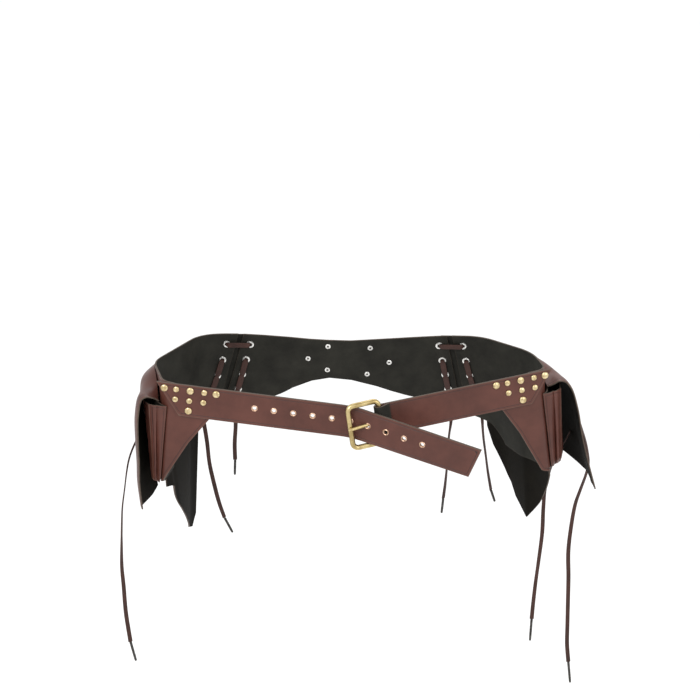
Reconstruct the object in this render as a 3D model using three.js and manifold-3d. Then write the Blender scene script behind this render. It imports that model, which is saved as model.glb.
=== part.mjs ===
// A leather hip belt with a pouch at each side, worn as costume over a tunic.
// Units are millimetres, +Z is up, the wearer looks along -Y and the origin is the
// middle of the waist opening, level with the belt's top edge.
import * as THREE from 'three';
import { mergeVertices } from 'three/addons/utils/BufferGeometryUtils.js';
import Module from 'manifold-3d';

const wasm = await Module();
wasm.setup();

// Driving sizes of the whole belt
const HALF_WIDTH = 246;
const HALF_DEPTH = 106;
const FRONT_SINK = 28.5;
const CLEARANCE = 0.3;
const LAYER_GAP = 1.9;

// Leather
const PANEL_WALL = 2.0;
const LEAF_WALL = 2.0;
const FLAP_WALL = 1.8;
const POUCH_WALL = 1.6;
const STRAP_WALL = 3.0;
const TONGUE_WALL = 1.6;

// Panels, leaves, straps
const PANEL_HEIGHT = 160;
const BACK_HEIGHT = 128;
const LEAF_LENGTH = 290;
const STRAP_WIDTH = 40;
const STRAP_POINT = 31;
const TIP_POINT = 8;
const STRAP_OVERHANG = 10;
const STRAP_FLAT = 30;
const STRAP_BEND = 16;
const TURNED_END = 13;
const PANEL_FRONT = 62;
const LEAF_FRONT = 0.15;
const LEAF_REAR = 0.78;
const LEAF_SEAM = 0.7;
const SHEET_STEP = 13;
const SHEET_ROWS = 4;

// Pouches and their flaps. A pouch's front gusset comes forward at the wall by POUCH_FORWARD,
// and its back goes from the side panel onto the leaf between two distances from the corner.
const POUCH_LENGTH = 100;
const POUCH_FROM_CORNER = 7;
const POUCH_FORWARD = 13;
const POUCH_ON_PANEL = 4;
const POUCH_ON_LEAF = 24;
const POUCH_GAP = { left: 3.2, right: 2.3 };
const POUCH_STEPS = 13;
const POUCH_TOP = 31;
const POUCH_HEIGHT = 105;
const POUCH_THICK = { left: 14.5, right: 18 };
const POUCH_TAPER = { left: 0.6, right: 0.95 };
const PLEAT_DEPTH = 4;
const FLAP_LENGTH = 110;
const FLAP_FROM_CORNER = 6;
const FLAP_TURN = 0.55;
const FLAP_STEPS = 12;

// Laces, eyelets and metal
const LACE_WIDTH = 5;
const LACE_THICK = 1.2;
const LACE_DIAMETER = 4;
const LACE_HOLE = 5;
const LACE_PITCH = 24;
const LACE_ROWS = 5;
const LACE_FIRST_ROW = 16;
const LACE_SPREAD = 31;
const LACE_POST = 3.4;
const LACING_FROM_BEND = { left: 50, right: 40 };
const LACE_GAP = 7;
const TONGUE_WIDTH = 23;
const LACE_STEP = 11;
const AGLET_DIAMETER = 3.6;
const STRAP_HOLE = 5.5;
const STRAP_HOLE_PITCH = 23.7;
const STRAP_HOLE_LEVEL = 18.5;
const PRONG_HOLE = 7;
const STRAP_HOLES = 10;
const STUD_LARGE = 9;
const STUD_SMALL = 7.4;
const STUD_PITCH = 17.2;
const STUD_ROW_PITCH = 12.8;
const STUD_FROM_CORNER = 42;
const STUD_FROM_EDGE = 6.6;
const RIVET_CAP = 8;
const RIVET_WASHER = 7.4;
const WASHER_THICK = 0.8;
const SHANK = 2.4;
const SHANK_HOLE = 3.2;
const BUCKLE_WIRE = 6.6;
const BUCKLE_HEIGHT = 60;
const BUCKLE_LENGTH = 28;
const BUCKLE_CORNER = 7;
const BUCKLE_TURN = 12;
const PRONG_WIRE = 4.5;
const PRONG_RING_WALL = 2.4;
const PRONG_PAST_BAR = 1;
const SLOT_GAP = 1;
const CAP_RISE = 0.22;
const CAP_SHOULDER = { out: 0.38, up: 0.8 };
const ROUND_SIDES = 8;
const HOLE_SIDES = 6;
const HALVINGS = 30;
const TOOL_PAST_WALL = 2;

// Shares of a sheet's length over which its slanted end turns upright
const LEANING_TIP = 0.12;
const LEANING_SEAM = 0.2;
const LEANING_SIDE = 0.3;

// Corners of the top edge seen from above, as shares of the half width and half depth, with
// the drop as a share of the front's sink and the distance over which each is rounded. The
// wall's lean away from upright, in degrees, is lean before the corner and leanAfter past it.
const RING = [
  { place: 'left strap at the buckle', across: -0.024, back: -0.774, sink: 0.92, round: 0, lean: 2 },
  { place: 'left corner', across: -0.919, back: -0.679, sink: 0, round: 14, lean: 2 },
  { place: 'left hip', across: -1.0, back: 0, sink: 0, round: 19, lean: -7, leanAfter: -6 },
  { place: 'left back bend', across: -0.801, back: 1.0, sink: 0, round: 26, lean: 2, leanAfter: 12 },
  { place: 'left lacing', across: -0.642, back: 1.01, sink: 0, round: 10, lean: 14 },
  { place: 'middle of the back', across: -0.02, back: 0.934, sink: 0, round: 60, lean: 15 },
  { place: 'right lacing', across: 0.488, back: 0.934, sink: 0, round: 20, lean: 17 },
  { place: 'right back bend', across: 0.699, back: 0.906, sink: 0, round: 20, lean: 17, leanAfter: 12 },
  { place: 'right hip', across: 0.943, back: 0.321, sink: 0, round: 24, lean: 7 },
  { place: 'right corner', across: 0.984, back: -0.264, sink: 0, round: 14, lean: 4 },
  { place: 'right strap at the buckle', across: 0.134, back: -0.7, sink: 1.0, round: 0, lean: 4 },
];

// The long strap's tip, as shares of the same sizes
const STRAP_TIP = { across: 0.635, back: -1.33, sink: 2.14, lean: -4 };

// Studs at a strap's sewn end, counted in pitches from the middle of the top row
const STUDS = [
  { along: -1.84, row: 0, size: STUD_LARGE },
  { along: -1, row: 0, size: STUD_SMALL },
  { along: 0, row: 0, size: STUD_LARGE },
  { along: 1, row: 0, size: STUD_SMALL },
  { along: 1.84, row: 0, size: STUD_LARGE },
  { along: -1, row: 1, size: STUD_SMALL },
  { along: 0, row: 1, size: STUD_SMALL },
  { along: 1, row: 1, size: STUD_SMALL },
  { along: 0, row: 2, size: STUD_LARGE },
];

// Rivets in the middle of the back, as shares of the back panel's length and height
const BACK_RIVETS = [
  { along: 0.416, down: 0.135 },
  { along: 0.315, down: 0.29 },
  { along: 0.41, down: 0.43 },
  { along: 0.625, down: 0.15 },
  { along: 0.72, down: 0.33 },
  { along: 0.61, down: 0.48 },
];

// Tables of outlines: along is the share of the piece's length from its front end to its back
// end, top and bottom are shares of its height
const SIDE_OUTLINE = {
  left: [
    { along: 0, top: 0.2, bottom: 0.22 },
    { along: 0.09, top: 0.02, bottom: 0.47 },
    { along: 0.185, top: 0, bottom: 0.82 },
    { along: 0.28, top: 0, bottom: 0.88 },
    { along: 0.45, top: 0, bottom: 0.86 },
    { along: 0.65, top: 0, bottom: 0.82 },
    { along: 0.83, top: 0, bottom: 0.8 },
    { along: 1, top: 0, bottom: 0.81 },
  ],
  right: [
    { along: 0, top: 0.2, bottom: 0.22 },
    { along: 0.09, top: 0.02, bottom: 0.47 },
    { along: 0.185, top: 0, bottom: 0.82 },
    { along: 0.28, top: 0, bottom: 0.89 },
    { along: 0.45, top: 0, bottom: 0.98 },
    { along: 0.65, top: 0, bottom: 1.0 },
    { along: 0.78, top: 0, bottom: 1.0 },
    { along: 0.83, top: 0, bottom: 0.94 },
    { along: 0.9, top: 0, bottom: 0.85 },
    { along: 1, top: 0, bottom: 0.81 },
  ],
};
const BACK_OUTLINE = [
  { along: 0, top: 0, bottom: 1.0 },
  { along: 0.1, top: 0.01, bottom: 0.85 },
  { along: 0.23, top: 0.03, bottom: 0.67 },
  { along: 0.33, top: 0.05, bottom: 0.575 },
  { along: 0.42, top: 0.06, bottom: 0.535 },
  { along: 0.53, top: 0.065, bottom: 0.56 },
  { along: 0.66, top: 0.045, bottom: 0.64 },
  { along: 0.84, top: 0.02, bottom: 0.79 },
  { along: 1, top: 0, bottom: 1.0 },
];
const LEAF_OUTLINE = {
  left: [
    { along: 0, top: 0.11, bottom: 0.54 },
    { along: 0.1, top: 0.11, bottom: 0.56 },
    { along: 0.36, top: 0.11, bottom: 0.7 },
    { along: 0.97, top: 0.11, bottom: 1.0 },
    { along: 1, top: 0.11, bottom: 0.94 },
  ],
  right: [
    { along: 0, top: 0.11, bottom: 0.5 },
    { along: 0.08, top: 0.11, bottom: 0.57 },
    { along: 0.32, top: 0.11, bottom: 0.77 },
    { along: 0.48, top: 0.11, bottom: 0.88 },
    { along: 0.74, top: 0.11, bottom: 0.83 },
    { along: 0.86, top: 0.11, bottom: 0.75 },
    { along: 0.965, top: 0.11, bottom: 0.6 },
    { along: 1, top: 0.11, bottom: 0.5 },
  ],
};
const FLAP_OUTLINE = [
  { along: 0, bottom: 0.98 },
  { along: 0.3, bottom: 0.95 },
  { along: 0.5, bottom: 0.9 },
  { along: 0.68, bottom: 0.84 },
  { along: 1, bottom: 0.7 },
];
// Each flap's run from its seam over the pouch to its lower edge, at its front and at its rear:
// how far out of the panel and how far down a point of it is, in millimetres
const FLAP_RUN = {
  left: {
    front: [[0, 26], [8, 21], [19, 18], [27, 22], [32, 46], [32, 78], [30.5, 111], [30, 138], [26, 174]],
    rear: [[0, 2], [10, 9], [19, 17], [23, 29], [25, 52], [25, 82], [25, 111], [25, 140], [24, 174]],
  },
  right: {
    front: [[0, 25], [7, 22.5], [16, 18], [25, 19.5], [34, 31], [41, 58], [46, 96], [52, 130], [61, 174]],
    rear: [[0, 2], [11, 10], [23, 22], [32, 38], [38, 58], [41, 82], [43, 111], [44, 140], [45, 174]],
  },
};
// Free lace ends: cords from an eyelet, through points down to the top of the aglet and then to
// its tip
const LACE_ENDS = [
  {
    name: 'left_pouch',
    start: [-263.2, -15, -85],
    way: [[-269, -15, -97], [-276, -15, -111], [-282, -15, -127], [-286, -15, -145],
      [-290, -15, -170], [-294, -15, -195], [-296, -15, -220], [-298, -15, -254], [-299, -15, -280], [-298, -15, -310], [-297, -15, -348],
      [-293, -15, -392]],
    tip: [-287, -15, -421],
  },
  {
    name: 'left_lacing_outer',
    hole: { lacing: 0, column: -1 },
    way: [[-204, 139, -122], [-201, 138, -140], [-197, 132, -165], [-194, 126, -194], [-189, 124, -221],
      [-182, 122, -252], [-175, 120, -274]],
    tip: [-164, 118, -296],
  },
  {
    name: 'left_lacing_inner',
    hole: { lacing: 0, column: 1 },
    way: [[-158, 147, -128], [-158, 145, -146], [-160, 145, -173], [-160, 145, -197]],
    tip: [-161, 145, -220],
  },
  {
    name: 'right_lacing_inner',
    hole: { lacing: 1, column: -1 },
    way: [[140, 146, -128], [139, 143, -143], [137, 143, -161], [135, 143, -208], [133, 143, -236],
      [131, 143, -255]],
    tip: [129, 143, -278],
  },
  {
    name: 'right_lacing_outer',
    hole: { lacing: 1, column: 1 },
    way: [[182, 144, -130], [184, 140, -158], [188, 138, -186], [192, 138, -213], [197, 138, -240]],
    tip: [203, 138, -258],
  },
  {
    name: 'right_pouch_inner',
    start: [288.3, 42, -112],
    way: [[284, 44, -124], [278, 47, -138], [271, 49, -154], [265, 50, -172], [260, 50, -199],
      [259, 50, -227], [259, 50, -263], [256, 50, -304], [253, 50, -340], [251, 50, -372],
      [250, 50, -394]],
    tip: [249, 50, -428],
  },
  {
    name: 'right_pouch_outer',
    start: [294.9, 25, -85],
    way: [[301, 26, -103], [307, 28, -122], [311, 30, -140], [312.5, 30, -153], [310, 29, -168],
      [304, 28, -188], [298, 28, -210], [294, 28, -243], [292, 28, -280], [294, 28, -318],
      [295, 28, -352], [296, 28, -389], [297, 28, -421], [300, 28, -448]],
    tip: [304, 28, -481],
  },
];
// The pouch's gusset from its back seam outwards, in shares of its thickness and pleat depth
const PLEATS = [
  { out: 0, in: 0.3 },
  { out: 0.25, in: 0 },
  { out: 0.5, in: 1 },
  { out: 0.75, in: 0 },
  { out: 1, in: 0.3 },
];
// Levels of the pouch: taper is a share of its narrowing, round narrows its bottom, fold is a
// share of its pleats' depth, and inset rounds its bottom corners
const POUCH_LEVELS = [
  { down: 0, taper: 0, round: 1, fold: 0.4, inset: 0 },
  { down: 0.5, taper: 0.6, round: 1, fold: 0.9, inset: 0 },
  { down: 0.9, taper: 1, round: 1, fold: 1, inset: 0 },
  { down: 0.97, taper: 1, round: 0.9, fold: 0.8, inset: 2 },
  { down: 1, taper: 1, round: 0.6, fold: 0.4, inset: 5 },
];

// A course is a line of a strap or wall seen along its top edge. at() gives a point of it with
// the directions along it, out of its face and down its face.
function makeCourse(corners) {
  const path = new THREE.CurvePath();
  const leans = [];
  let from = corners[0].point;
  let length = 0;
  leans.push({ s: 0, lean: corners[0].lean });
  corners.slice(1, -1).forEach((corner, index) => {
    const before = corners[index].point;
    const after = corners[index + 2].point;
    const start = corner.point.clone().lerp(before, corner.round / corner.point.distanceTo(before));
    const end = corner.point.clone().lerp(after, corner.round / corner.point.distanceTo(after));
    path.add(new THREE.LineCurve3(from, start));
    const bend = new THREE.QuadraticBezierCurve3(start, corner.point, end);
    path.add(bend);
    length += from.distanceTo(start);
    leans.push({ s: length, lean: corner.lean });
    length += bend.getLength();
    leans.push({ s: length, lean: corner.leanAfter ?? corner.lean });
    from = end;
  });
  const last = corners[corners.length - 1];
  path.add(new THREE.LineCurve3(from, last.point));
  length += from.distanceTo(last.point);
  leans.push({ s: length, lean: last.lean });
  const marks = corners.map((corner, index) => {
    if (index === 0) return 0;
    if (index === corners.length - 1) return length;
    return (leans[2 * index - 1].s + leans[2 * index].s) / 2;
  });
  const leanAt = (s) => valueAt(leans, 's', 'lean', s);
  const pointAt = (s) => {
    const inside = THREE.MathUtils.clamp(s, 0, length);
    const { curve, rest } = curveAt(path, inside);
    const point = curve.getPointAt(rest);
    const along = curve.getTangentAt(rest);
    return { point: point.addScaledVector(along, s - inside), along };
  };
  const at = (s) => {
    const { point, along } = pointAt(s);
    const level = new THREE.Vector3(-along.y, along.x, 0).normalize();
    const upright = new THREE.Vector3().crossVectors(level, along).normalize();
    if (upright.z > 0) upright.negate();
    const lean = THREE.MathUtils.degToRad(leanAt(s));
    const down = upright.clone().multiplyScalar(Math.cos(lean)).addScaledVector(level, Math.sin(lean));
    const out = level.clone().multiplyScalar(Math.cos(lean)).addScaledVector(upright, -Math.sin(lean));
    return { point, along, out, down };
  };
  const place = (s, h, d) => {
    const frame = at(s);
    return frame.point.clone().addScaledVector(frame.down, h).addScaledVector(frame.out, d);
  };
  return { at, place, length, marks };
}

// The curve of a path that holds the distance s, and the share of that curve
function curveAt(path, s) {
  const lengths = path.getCurveLengths();
  const index = Math.max(0, lengths.findIndex((total) => total >= s - 1e-9));
  const before = index === 0 ? 0 : lengths[index - 1];
  const share = (s - before) / (lengths[index] - before);
  return { curve: path.curves[index], rest: THREE.MathUtils.clamp(share, 0, 1) };
}

// A value read from a table's column between its rows
function valueAt(rows, key, column, at) {
  if (at <= rows[0][key]) return rows[0][column];
  for (let i = 1; i < rows.length; i += 1) {
    const [a, b] = [rows[i - 1], rows[i]];
    if (at <= b[key]) return THREE.MathUtils.lerp(a[column], b[column], (at - a[key]) / (b[key] - a[key]));
  }
  return rows[rows.length - 1][column];
}

// Stations of a table's rows with more between them, no further apart than a step
function stations(rows, key, length, step) {
  const found = [rows[0][key]];
  rows.slice(1).forEach((row, i) => {
    const count = Math.max(1, Math.ceil(((row[key] - rows[i][key]) * length) / step));
    for (let k = 1; k <= count; k += 1) found.push(THREE.MathUtils.lerp(rows[i][key], row[key], k / count));
  });
  return found;
}

// A closed wall: two faces through the points face(i, j, side), joined all round the rim
function wallGeometry(columns, rows, face) {
  const positions = [];
  const index = [];
  const id = (i, j, side) => (side * columns + i) * rows + j;
  for (let side = 0; side < 2; side += 1) {
    for (let i = 0; i < columns; i += 1) {
      for (let j = 0; j < rows; j += 1) positions.push(...face(i, j, side).toArray());
    }
  }
  const quad = (a, b, c, d) => index.push(a, b, c, a, c, d);
  for (let i = 0; i < columns - 1; i += 1) {
    for (let j = 0; j < rows - 1; j += 1) {
      quad(id(i, j, 0), id(i + 1, j, 0), id(i + 1, j + 1, 0), id(i, j + 1, 0));
      quad(id(i, j, 1), id(i, j + 1, 1), id(i + 1, j + 1, 1), id(i + 1, j, 1));
    }
  }
  for (let i = 0; i < columns - 1; i += 1) {
    quad(id(i, 0, 0), id(i, 0, 1), id(i + 1, 0, 1), id(i + 1, 0, 0));
    quad(id(i, rows - 1, 1), id(i, rows - 1, 0), id(i + 1, rows - 1, 0), id(i + 1, rows - 1, 1));
  }
  for (let j = 0; j < rows - 1; j += 1) {
    quad(id(0, j, 1), id(0, j, 0), id(0, j + 1, 0), id(0, j + 1, 1));
    quad(id(columns - 1, j, 0), id(columns - 1, j, 1), id(columns - 1, j + 1, 1), id(columns - 1, j + 1, 0));
  }
  const geometry = new THREE.BufferGeometry();
  geometry.setAttribute('position', new THREE.Float32BufferAttribute(positions, 3));
  geometry.setIndex(index);
  return facingOut(geometry);
}

// The signed volume tells which way a closed mesh's faces point; they are turned to point out
function facingOut(geometry) {
  const p = geometry.getAttribute('position');
  const order = geometry.getIndex();
  const [a, b, c] = [new THREE.Vector3(), new THREE.Vector3(), new THREE.Vector3()];
  let volume = 0;
  for (let i = 0; i < order.count; i += 3) {
    a.fromBufferAttribute(p, order.getX(i));
    b.fromBufferAttribute(p, order.getX(i + 1));
    c.fromBufferAttribute(p, order.getX(i + 2));
    volume += a.dot(b.cross(c));
  }
  if (volume > 0) return geometry;
  for (let i = 0; i < order.count; i += 3) {
    const first = order.getX(i);
    order.setX(i, order.getX(i + 1));
    order.setX(i + 1, first);
  }
  return geometry;
}

// A leather sheet cut to an outline and laid on a course, from one depth out of it to another
function sheet(course, {
  from, to, outline, height, depth, wall, edgeLean, rows = SHEET_ROWS, step = SHEET_STEP,
}) {
  const list = stations(outline, 'along', Math.abs(to - from), step);
  const face = (i, j, side) => {
    const share = list[i];
    const top = valueAt(outline, 'along', 'top', share) * height;
    const bottom = valueAt(outline, 'along', 'bottom', share) * height;
    const h = THREE.MathUtils.lerp(top, bottom, j / (rows - 1));
    const s = THREE.MathUtils.lerp(from, to, share) + (edgeLean ? edgeLean(share) * h : 0);
    const d = typeof depth === 'function' ? depth(j / (rows - 1)) : depth;
    return course.place(s, h, d + side * wall);
  };
  return wallGeometry(list.length, rows, face);
}

// Solids for cutting and joining
function toSolid(geometry) {
  const bare = geometry.clone();
  bare.deleteAttribute('normal');
  bare.deleteAttribute('uv');
  const merged = mergeVertices(bare, 1e-4);
  const mesh = new wasm.Mesh({
    numProp: 3,
    vertProperties: new Float32Array(merged.getAttribute('position').array),
    triVerts: new Uint32Array(merged.getIndex().array),
  });
  return new wasm.Manifold(mesh);
}

function toGeometry(solid) {
  const mesh = solid.getMesh();
  const geometry = new THREE.BufferGeometry();
  geometry.setAttribute('position', new THREE.Float32BufferAttribute(mesh.vertProperties, 3));
  geometry.setIndex(Array.from(mesh.triVerts));
  return geometry;
}

function cut(geometry, tools) {
  let solid = toSolid(geometry);
  tools.forEach((tool) => {
    solid = solid.subtract(toSolid(tool));
  });
  return toGeometry(solid);
}

function join(pieces) {
  let solid = toSolid(pieces[0]);
  pieces.slice(1).forEach((piece) => {
    solid = solid.add(toSolid(piece));
  });
  return toGeometry(solid);
}

// Turns a shape built round +Y so that +Y points out of a course's face at a place on it
function standOn(geometry, course, s, h, d) {
  const { out, down } = course.at(s);
  const up = down.clone().negate();
  const basis = new THREE.Matrix4().makeBasis(out.clone().cross(up), out, up);
  return geometry.applyMatrix4(basis.setPosition(course.place(s, h, d)));
}

function holeAt(course, s, h, diameter, depth, wall) {
  const reach = wall + 2 * TOOL_PAST_WALL;
  const tool = new THREE.CylinderGeometry(diameter / 2, diameter / 2, reach, HOLE_SIDES);
  return standOn(tool, course, s, h, depth + wall / 2);
}

const palette = {
  leather: new THREE.MeshStandardMaterial({ color: 0x6b4238, roughness: 0.55, metalness: 0 }),
  lace: new THREE.MeshStandardMaterial({ color: 0x4d3430, roughness: 0.7, metalness: 0 }),
  brass: new THREE.MeshStandardMaterial({ color: 0xa8925a, roughness: 0.35, metalness: 1 }),
  tip: new THREE.MeshStandardMaterial({ color: 0x44413f, roughness: 0.5, metalness: 0 }),
};

const belt = new THREE.Group();

function addPiece(name, geometry, material) {
  const mesh = new THREE.Mesh(geometry, material);
  mesh.name = name;
  belt.add(mesh);
  return mesh;
}

// The ring
function cornerPoint({ across, back, sink }) {
  return new THREE.Vector3(across * HALF_WIDTH, back * HALF_DEPTH, -sink * FRONT_SINK);
}
const hingeEnd = cornerPoint(RING[RING.length - 1]);
const buckleTurn = THREE.MathUtils.degToRad(BUCKLE_TURN);
const buckleWay = new THREE.Vector3(-Math.cos(buckleTurn), -Math.sin(buckleTurn), 0);
const buckleStart = hingeEnd.clone().addScaledVector(buckleWay, BUCKLE_LENGTH);
const ringPoint = (row, index) => (index === 0 ? buckleStart : cornerPoint(row));
const ring = makeCourse(RING.map((row, index) => ({ ...row, point: ringPoint(row, index) })));
const mark = (place) => ring.marks[RING.findIndex((row) => row.place === place)];

// The two lacings: where the gap between two panels starts at the top edge and how far it
// leans along the ring for each millimetre down
const lacings = [
  { side: 'left', s: mark('left back bend') + LACING_FROM_BEND.left, lean: -0.27 },
  { side: 'right', s: mark('right back bend') - LACING_FROM_BEND.right, lean: 0.185 },
];
const laceRow = (row) => LACE_FIRST_ROW + row * LACE_PITCH;
const laceHole = (lacing, column, row) => {
  const h = laceRow(row);
  return { s: lacing.s + lacing.lean * h + (column * LACE_SPREAD) / 2, h };
};
const laceRows = Array.from({ length: LACE_ROWS }, (_, row) => row);
const laceHoles = (lacing, column) => laceRows.map((row) => {
  const { s, h } = laceHole(lacing, column, row);
  return holeAt(ring, s, h, LACE_HOLE, 0, PANEL_WALL);
});

// The two sides: distances along a side run from its corner to the lacing, back along the hip
const sides = [
  { side: 'left', turn: 1, corner: mark('left corner'), lacing: lacings[0] },
  { side: 'right', turn: -1, corner: mark('right corner'), lacing: lacings[1] },
];
sides.forEach((side) => {
  side.along = (distance) => side.corner + side.turn * distance;
  side.length = Math.abs(side.lacing.s - side.corner);
});

// The straps lie on the side panels. The long one runs from its tip to the left corner, the
// short one from the right corner to the buckle's hinge bar.
const onPanel = PANEL_WALL + CLEARANCE;
const leftFlat = mark('left corner') - STRAP_FLAT;
const rightFlat = mark('right corner') + STRAP_FLAT;
const pastCorner = STRAP_FLAT + STRAP_OVERHANG;
const longCorner = ring.place(leftFlat, 0, onPanel).addScaledVector(ring.at(leftFlat).along, pastCorner);
const shortCorner = ring.place(rightFlat, 0, onPanel).addScaledVector(ring.at(rightFlat).along, -pastCorner);
const strapTip = cornerPoint(STRAP_TIP);
const longStrap = makeCourse([
  { point: strapTip, round: 0, lean: STRAP_TIP.lean },
  { point: ring.place(0, 0, onPanel), round: STRAP_BEND, lean: RING[0].lean },
  { point: longCorner, round: 0, lean: RING[1].lean },
]);
const shortStrap = makeCourse([
  { point: shortCorner, round: 0, lean: RING[RING.length - 2].lean },
  { point: ring.place(ring.length, 0, onPanel), round: 0, lean: RING[RING.length - 1].lean },
]);

// Studs that hold a strap's sewn end, from the end's pointed corner
const strapEnds = [
  { side: 'left', course: longStrap, at: (distance) => longStrap.length - distance },
  { side: 'right', course: shortStrap, at: (distance) => distance },
];
const studPlace = (end, stud) => ({
  s: end.at(STUD_FROM_CORNER + stud.along * STUD_PITCH),
  h: STUD_FROM_EDGE + stud.row * STUD_ROW_PITCH,
});
const studHoles = (end) => STUDS.map((stud) => {
  const { s, h } = studPlace(end, stud);
  return holeAt(end.course, s, h, SHANK_HOLE, -onPanel, onPanel + STRAP_WALL);
});

// Side panels: the seam to the back leans with its lacing, and the front end lies under a strap
sides.forEach((side, k) => {
  const { lacing, turn } = side;
  const panel = sheet(ring, {
    from: side.along(-PANEL_FRONT),
    to: lacing.s - (turn * LACE_GAP) / 2,
    outline: SIDE_OUTLINE[side.side],
    height: PANEL_HEIGHT,
    depth: 0,
    wall: PANEL_WALL,
    edgeLean: (share) => lacing.lean * THREE.MathUtils.smoothstep(share, 1 - LEANING_SIDE, 1),
  });
  const holes = [...laceHoles(lacing, -turn), ...studHoles(strapEnds[k])];
  addPiece(`side_panel_${side.side}`, cut(panel, holes), palette.leather);
});

// Back panel
const backFrom = lacings[0].s + LACE_GAP / 2;
const backTo = lacings[1].s - LACE_GAP / 2;
const backLean = (share) => lacings[0].lean * (1 - THREE.MathUtils.smoothstep(share, 0, LEANING_SEAM))
  + lacings[1].lean * THREE.MathUtils.smoothstep(share, 1 - LEANING_SEAM, 1);
const backPanel = sheet(ring, {
  from: backFrom,
  to: backTo,
  outline: BACK_OUTLINE,
  height: BACK_HEIGHT,
  depth: 0,
  wall: PANEL_WALL,
  edgeLean: backLean,
});
const rivetPlace = (rivet) => ({
  s: THREE.MathUtils.lerp(backFrom, backTo, rivet.along),
  h: rivet.down * BACK_HEIGHT,
});
const rivetHoles = BACK_RIVETS.map((rivet) => {
  const { s, h } = rivetPlace(rivet);
  return holeAt(ring, s, h, SHANK_HOLE, 0, PANEL_WALL);
});
const backHoles = [...laceHoles(lacings[0], 1), ...laceHoles(lacings[1], -1), ...rivetHoles];
addPiece('back_panel', cut(backPanel, backHoles), palette.leather);

// Lacing tongues behind the two gaps
const tongueDepth = PANEL_WALL + LAYER_GAP;
lacings.forEach((lacing) => {
  const tongue = sheet(ring, {
    from: lacing.s - TONGUE_WIDTH / 2,
    to: lacing.s + TONGUE_WIDTH / 2,
    outline: [{ along: 0, top: 0.02, bottom: 1 }, { along: 1, top: 0.02, bottom: 1 }],
    height: BACK_HEIGHT,
    depth: tongueDepth,
    wall: TONGUE_WALL,
    edgeLean: () => lacing.lean,
  });
  addPiece(`lacing_tongue_${lacing.side}`, tongue, palette.leather);
});

// The lace drawn through each lacing: a level run inside the first row, crossed runs outside
// to the second, then upright runs inside and level runs outside down to the last row
function laceRun(from, to, depth) {
  const run = new THREE.Vector2(to.s - from.s, to.h - from.h);
  const length = run.length();
  run.normalize();
  const half = LACE_WIDTH / 2;
  const columns = 3;
  const face = (i, j, side) => {
    const reach = THREE.MathUtils.lerp(-half, length + half, i / (columns - 1));
    const across = j === 0 ? -half : half;
    const s = from.s + run.x * reach - run.y * across;
    const h = from.h + run.y * reach + run.x * across;
    return ring.place(s, h, depth + side * LACE_THICK);
  };
  return wallGeometry(columns, 2, face);
}
const laceInside = -LAYER_GAP - LACE_THICK;
const laceOutside = tongueDepth + TONGUE_WALL + LAYER_GAP;
const postLength = laceOutside + LACE_THICK / 2 - laceInside - LACE_THICK / 2;
lacings.forEach((lacing) => {
  const left = (row) => laceHole(lacing, -1, row);
  const right = (row) => laceHole(lacing, 1, row);
  const pieces = [laceRun(left(0), right(0), laceInside)];
  pieces.push(laceRun(left(0), right(1), laceOutside), laceRun(right(0), left(1), laceOutside));
  for (let row = 1; row < LACE_ROWS - 1; row += 1) {
    pieces.push(laceRun(left(row), left(row + 1), laceInside));
    pieces.push(laceRun(right(row), right(row + 1), laceInside));
    if (row > 1) pieces.push(laceRun(left(row), right(row), laceOutside));
  }
  laceRows.forEach((row) => [left(row), right(row)].forEach(({ s, h }) => {
    const post = new THREE.CylinderGeometry(LACE_POST / 2, LACE_POST / 2, postLength, HOLE_SIDES);
    pieces.push(standOn(post, ring, s, h, laceInside + LACE_THICK / 2 + postLength / 2));
  }));
  addPiece(`lacing_${lacing.side}`, join(pieces), palette.lace);
});

// Rear leaves hang outside the side panels
sides.forEach((side) => {
  const leaf = sheet(ring, {
    from: side.along(LEAF_FRONT * side.length),
    to: side.along(LEAF_REAR * side.length),
    outline: LEAF_OUTLINE[side.side],
    height: LEAF_LENGTH,
    depth: (down) => PANEL_WALL + LAYER_GAP - LEAF_SEAM * Math.max(0, 1 - 3 * down),
    wall: LEAF_WALL,
  });
  addPiece(`rear_leaf_${side.side}`, leaf, palette.leather);
});

// Pouches: a shell with pleated ends, open at the top. A level of it is a closed outline of
// along and out, smaller towards the rounded bottom, and its front end slants forward.
const onSidePanel = PANEL_WALL + LAYER_GAP;
function pouchBack(side, along) {
  const onLeaf = onSidePanel + LEAF_WALL + POUCH_GAP[side.side];
  const share = THREE.MathUtils.smoothstep(along, POUCH_ON_PANEL, POUCH_ON_LEAF);
  return THREE.MathUtils.lerp(onSidePanel, onLeaf, share);
}
function pouchOutline(side, level, wall) {
  const narrow = 1 - (1 - POUCH_TAPER[side.side]) * level.taper;
  const thick = POUCH_THICK[side.side] * narrow * level.round;
  const start = wall + level.inset;
  const end = POUCH_LENGTH - start;
  const fold = PLEAT_DEPTH * level.fold;
  const out = (share) => THREE.MathUtils.lerp(wall, thick - wall, share);
  const front = (share) => start - POUCH_FORWARD * (1 - share);
  const face = (share) => (k) => {
    const along = THREE.MathUtils.lerp(front(share), end, k / POUCH_STEPS);
    return { along, out: out(share) };
  };
  const inner = Array.from({ length: POUCH_STEPS - 1 }, (_, k) => k + 1);
  return [
    ...PLEATS.map((pleat) => ({ along: front(pleat.out) + pleat.in * fold, out: out(pleat.out) })),
    ...inner.map(face(1)),
    ...[...PLEATS].reverse().map((pleat) => ({ along: end - pleat.in * fold, out: out(pleat.out) })),
    ...inner.reverse().map(face(0)),
  ];
}
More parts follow.
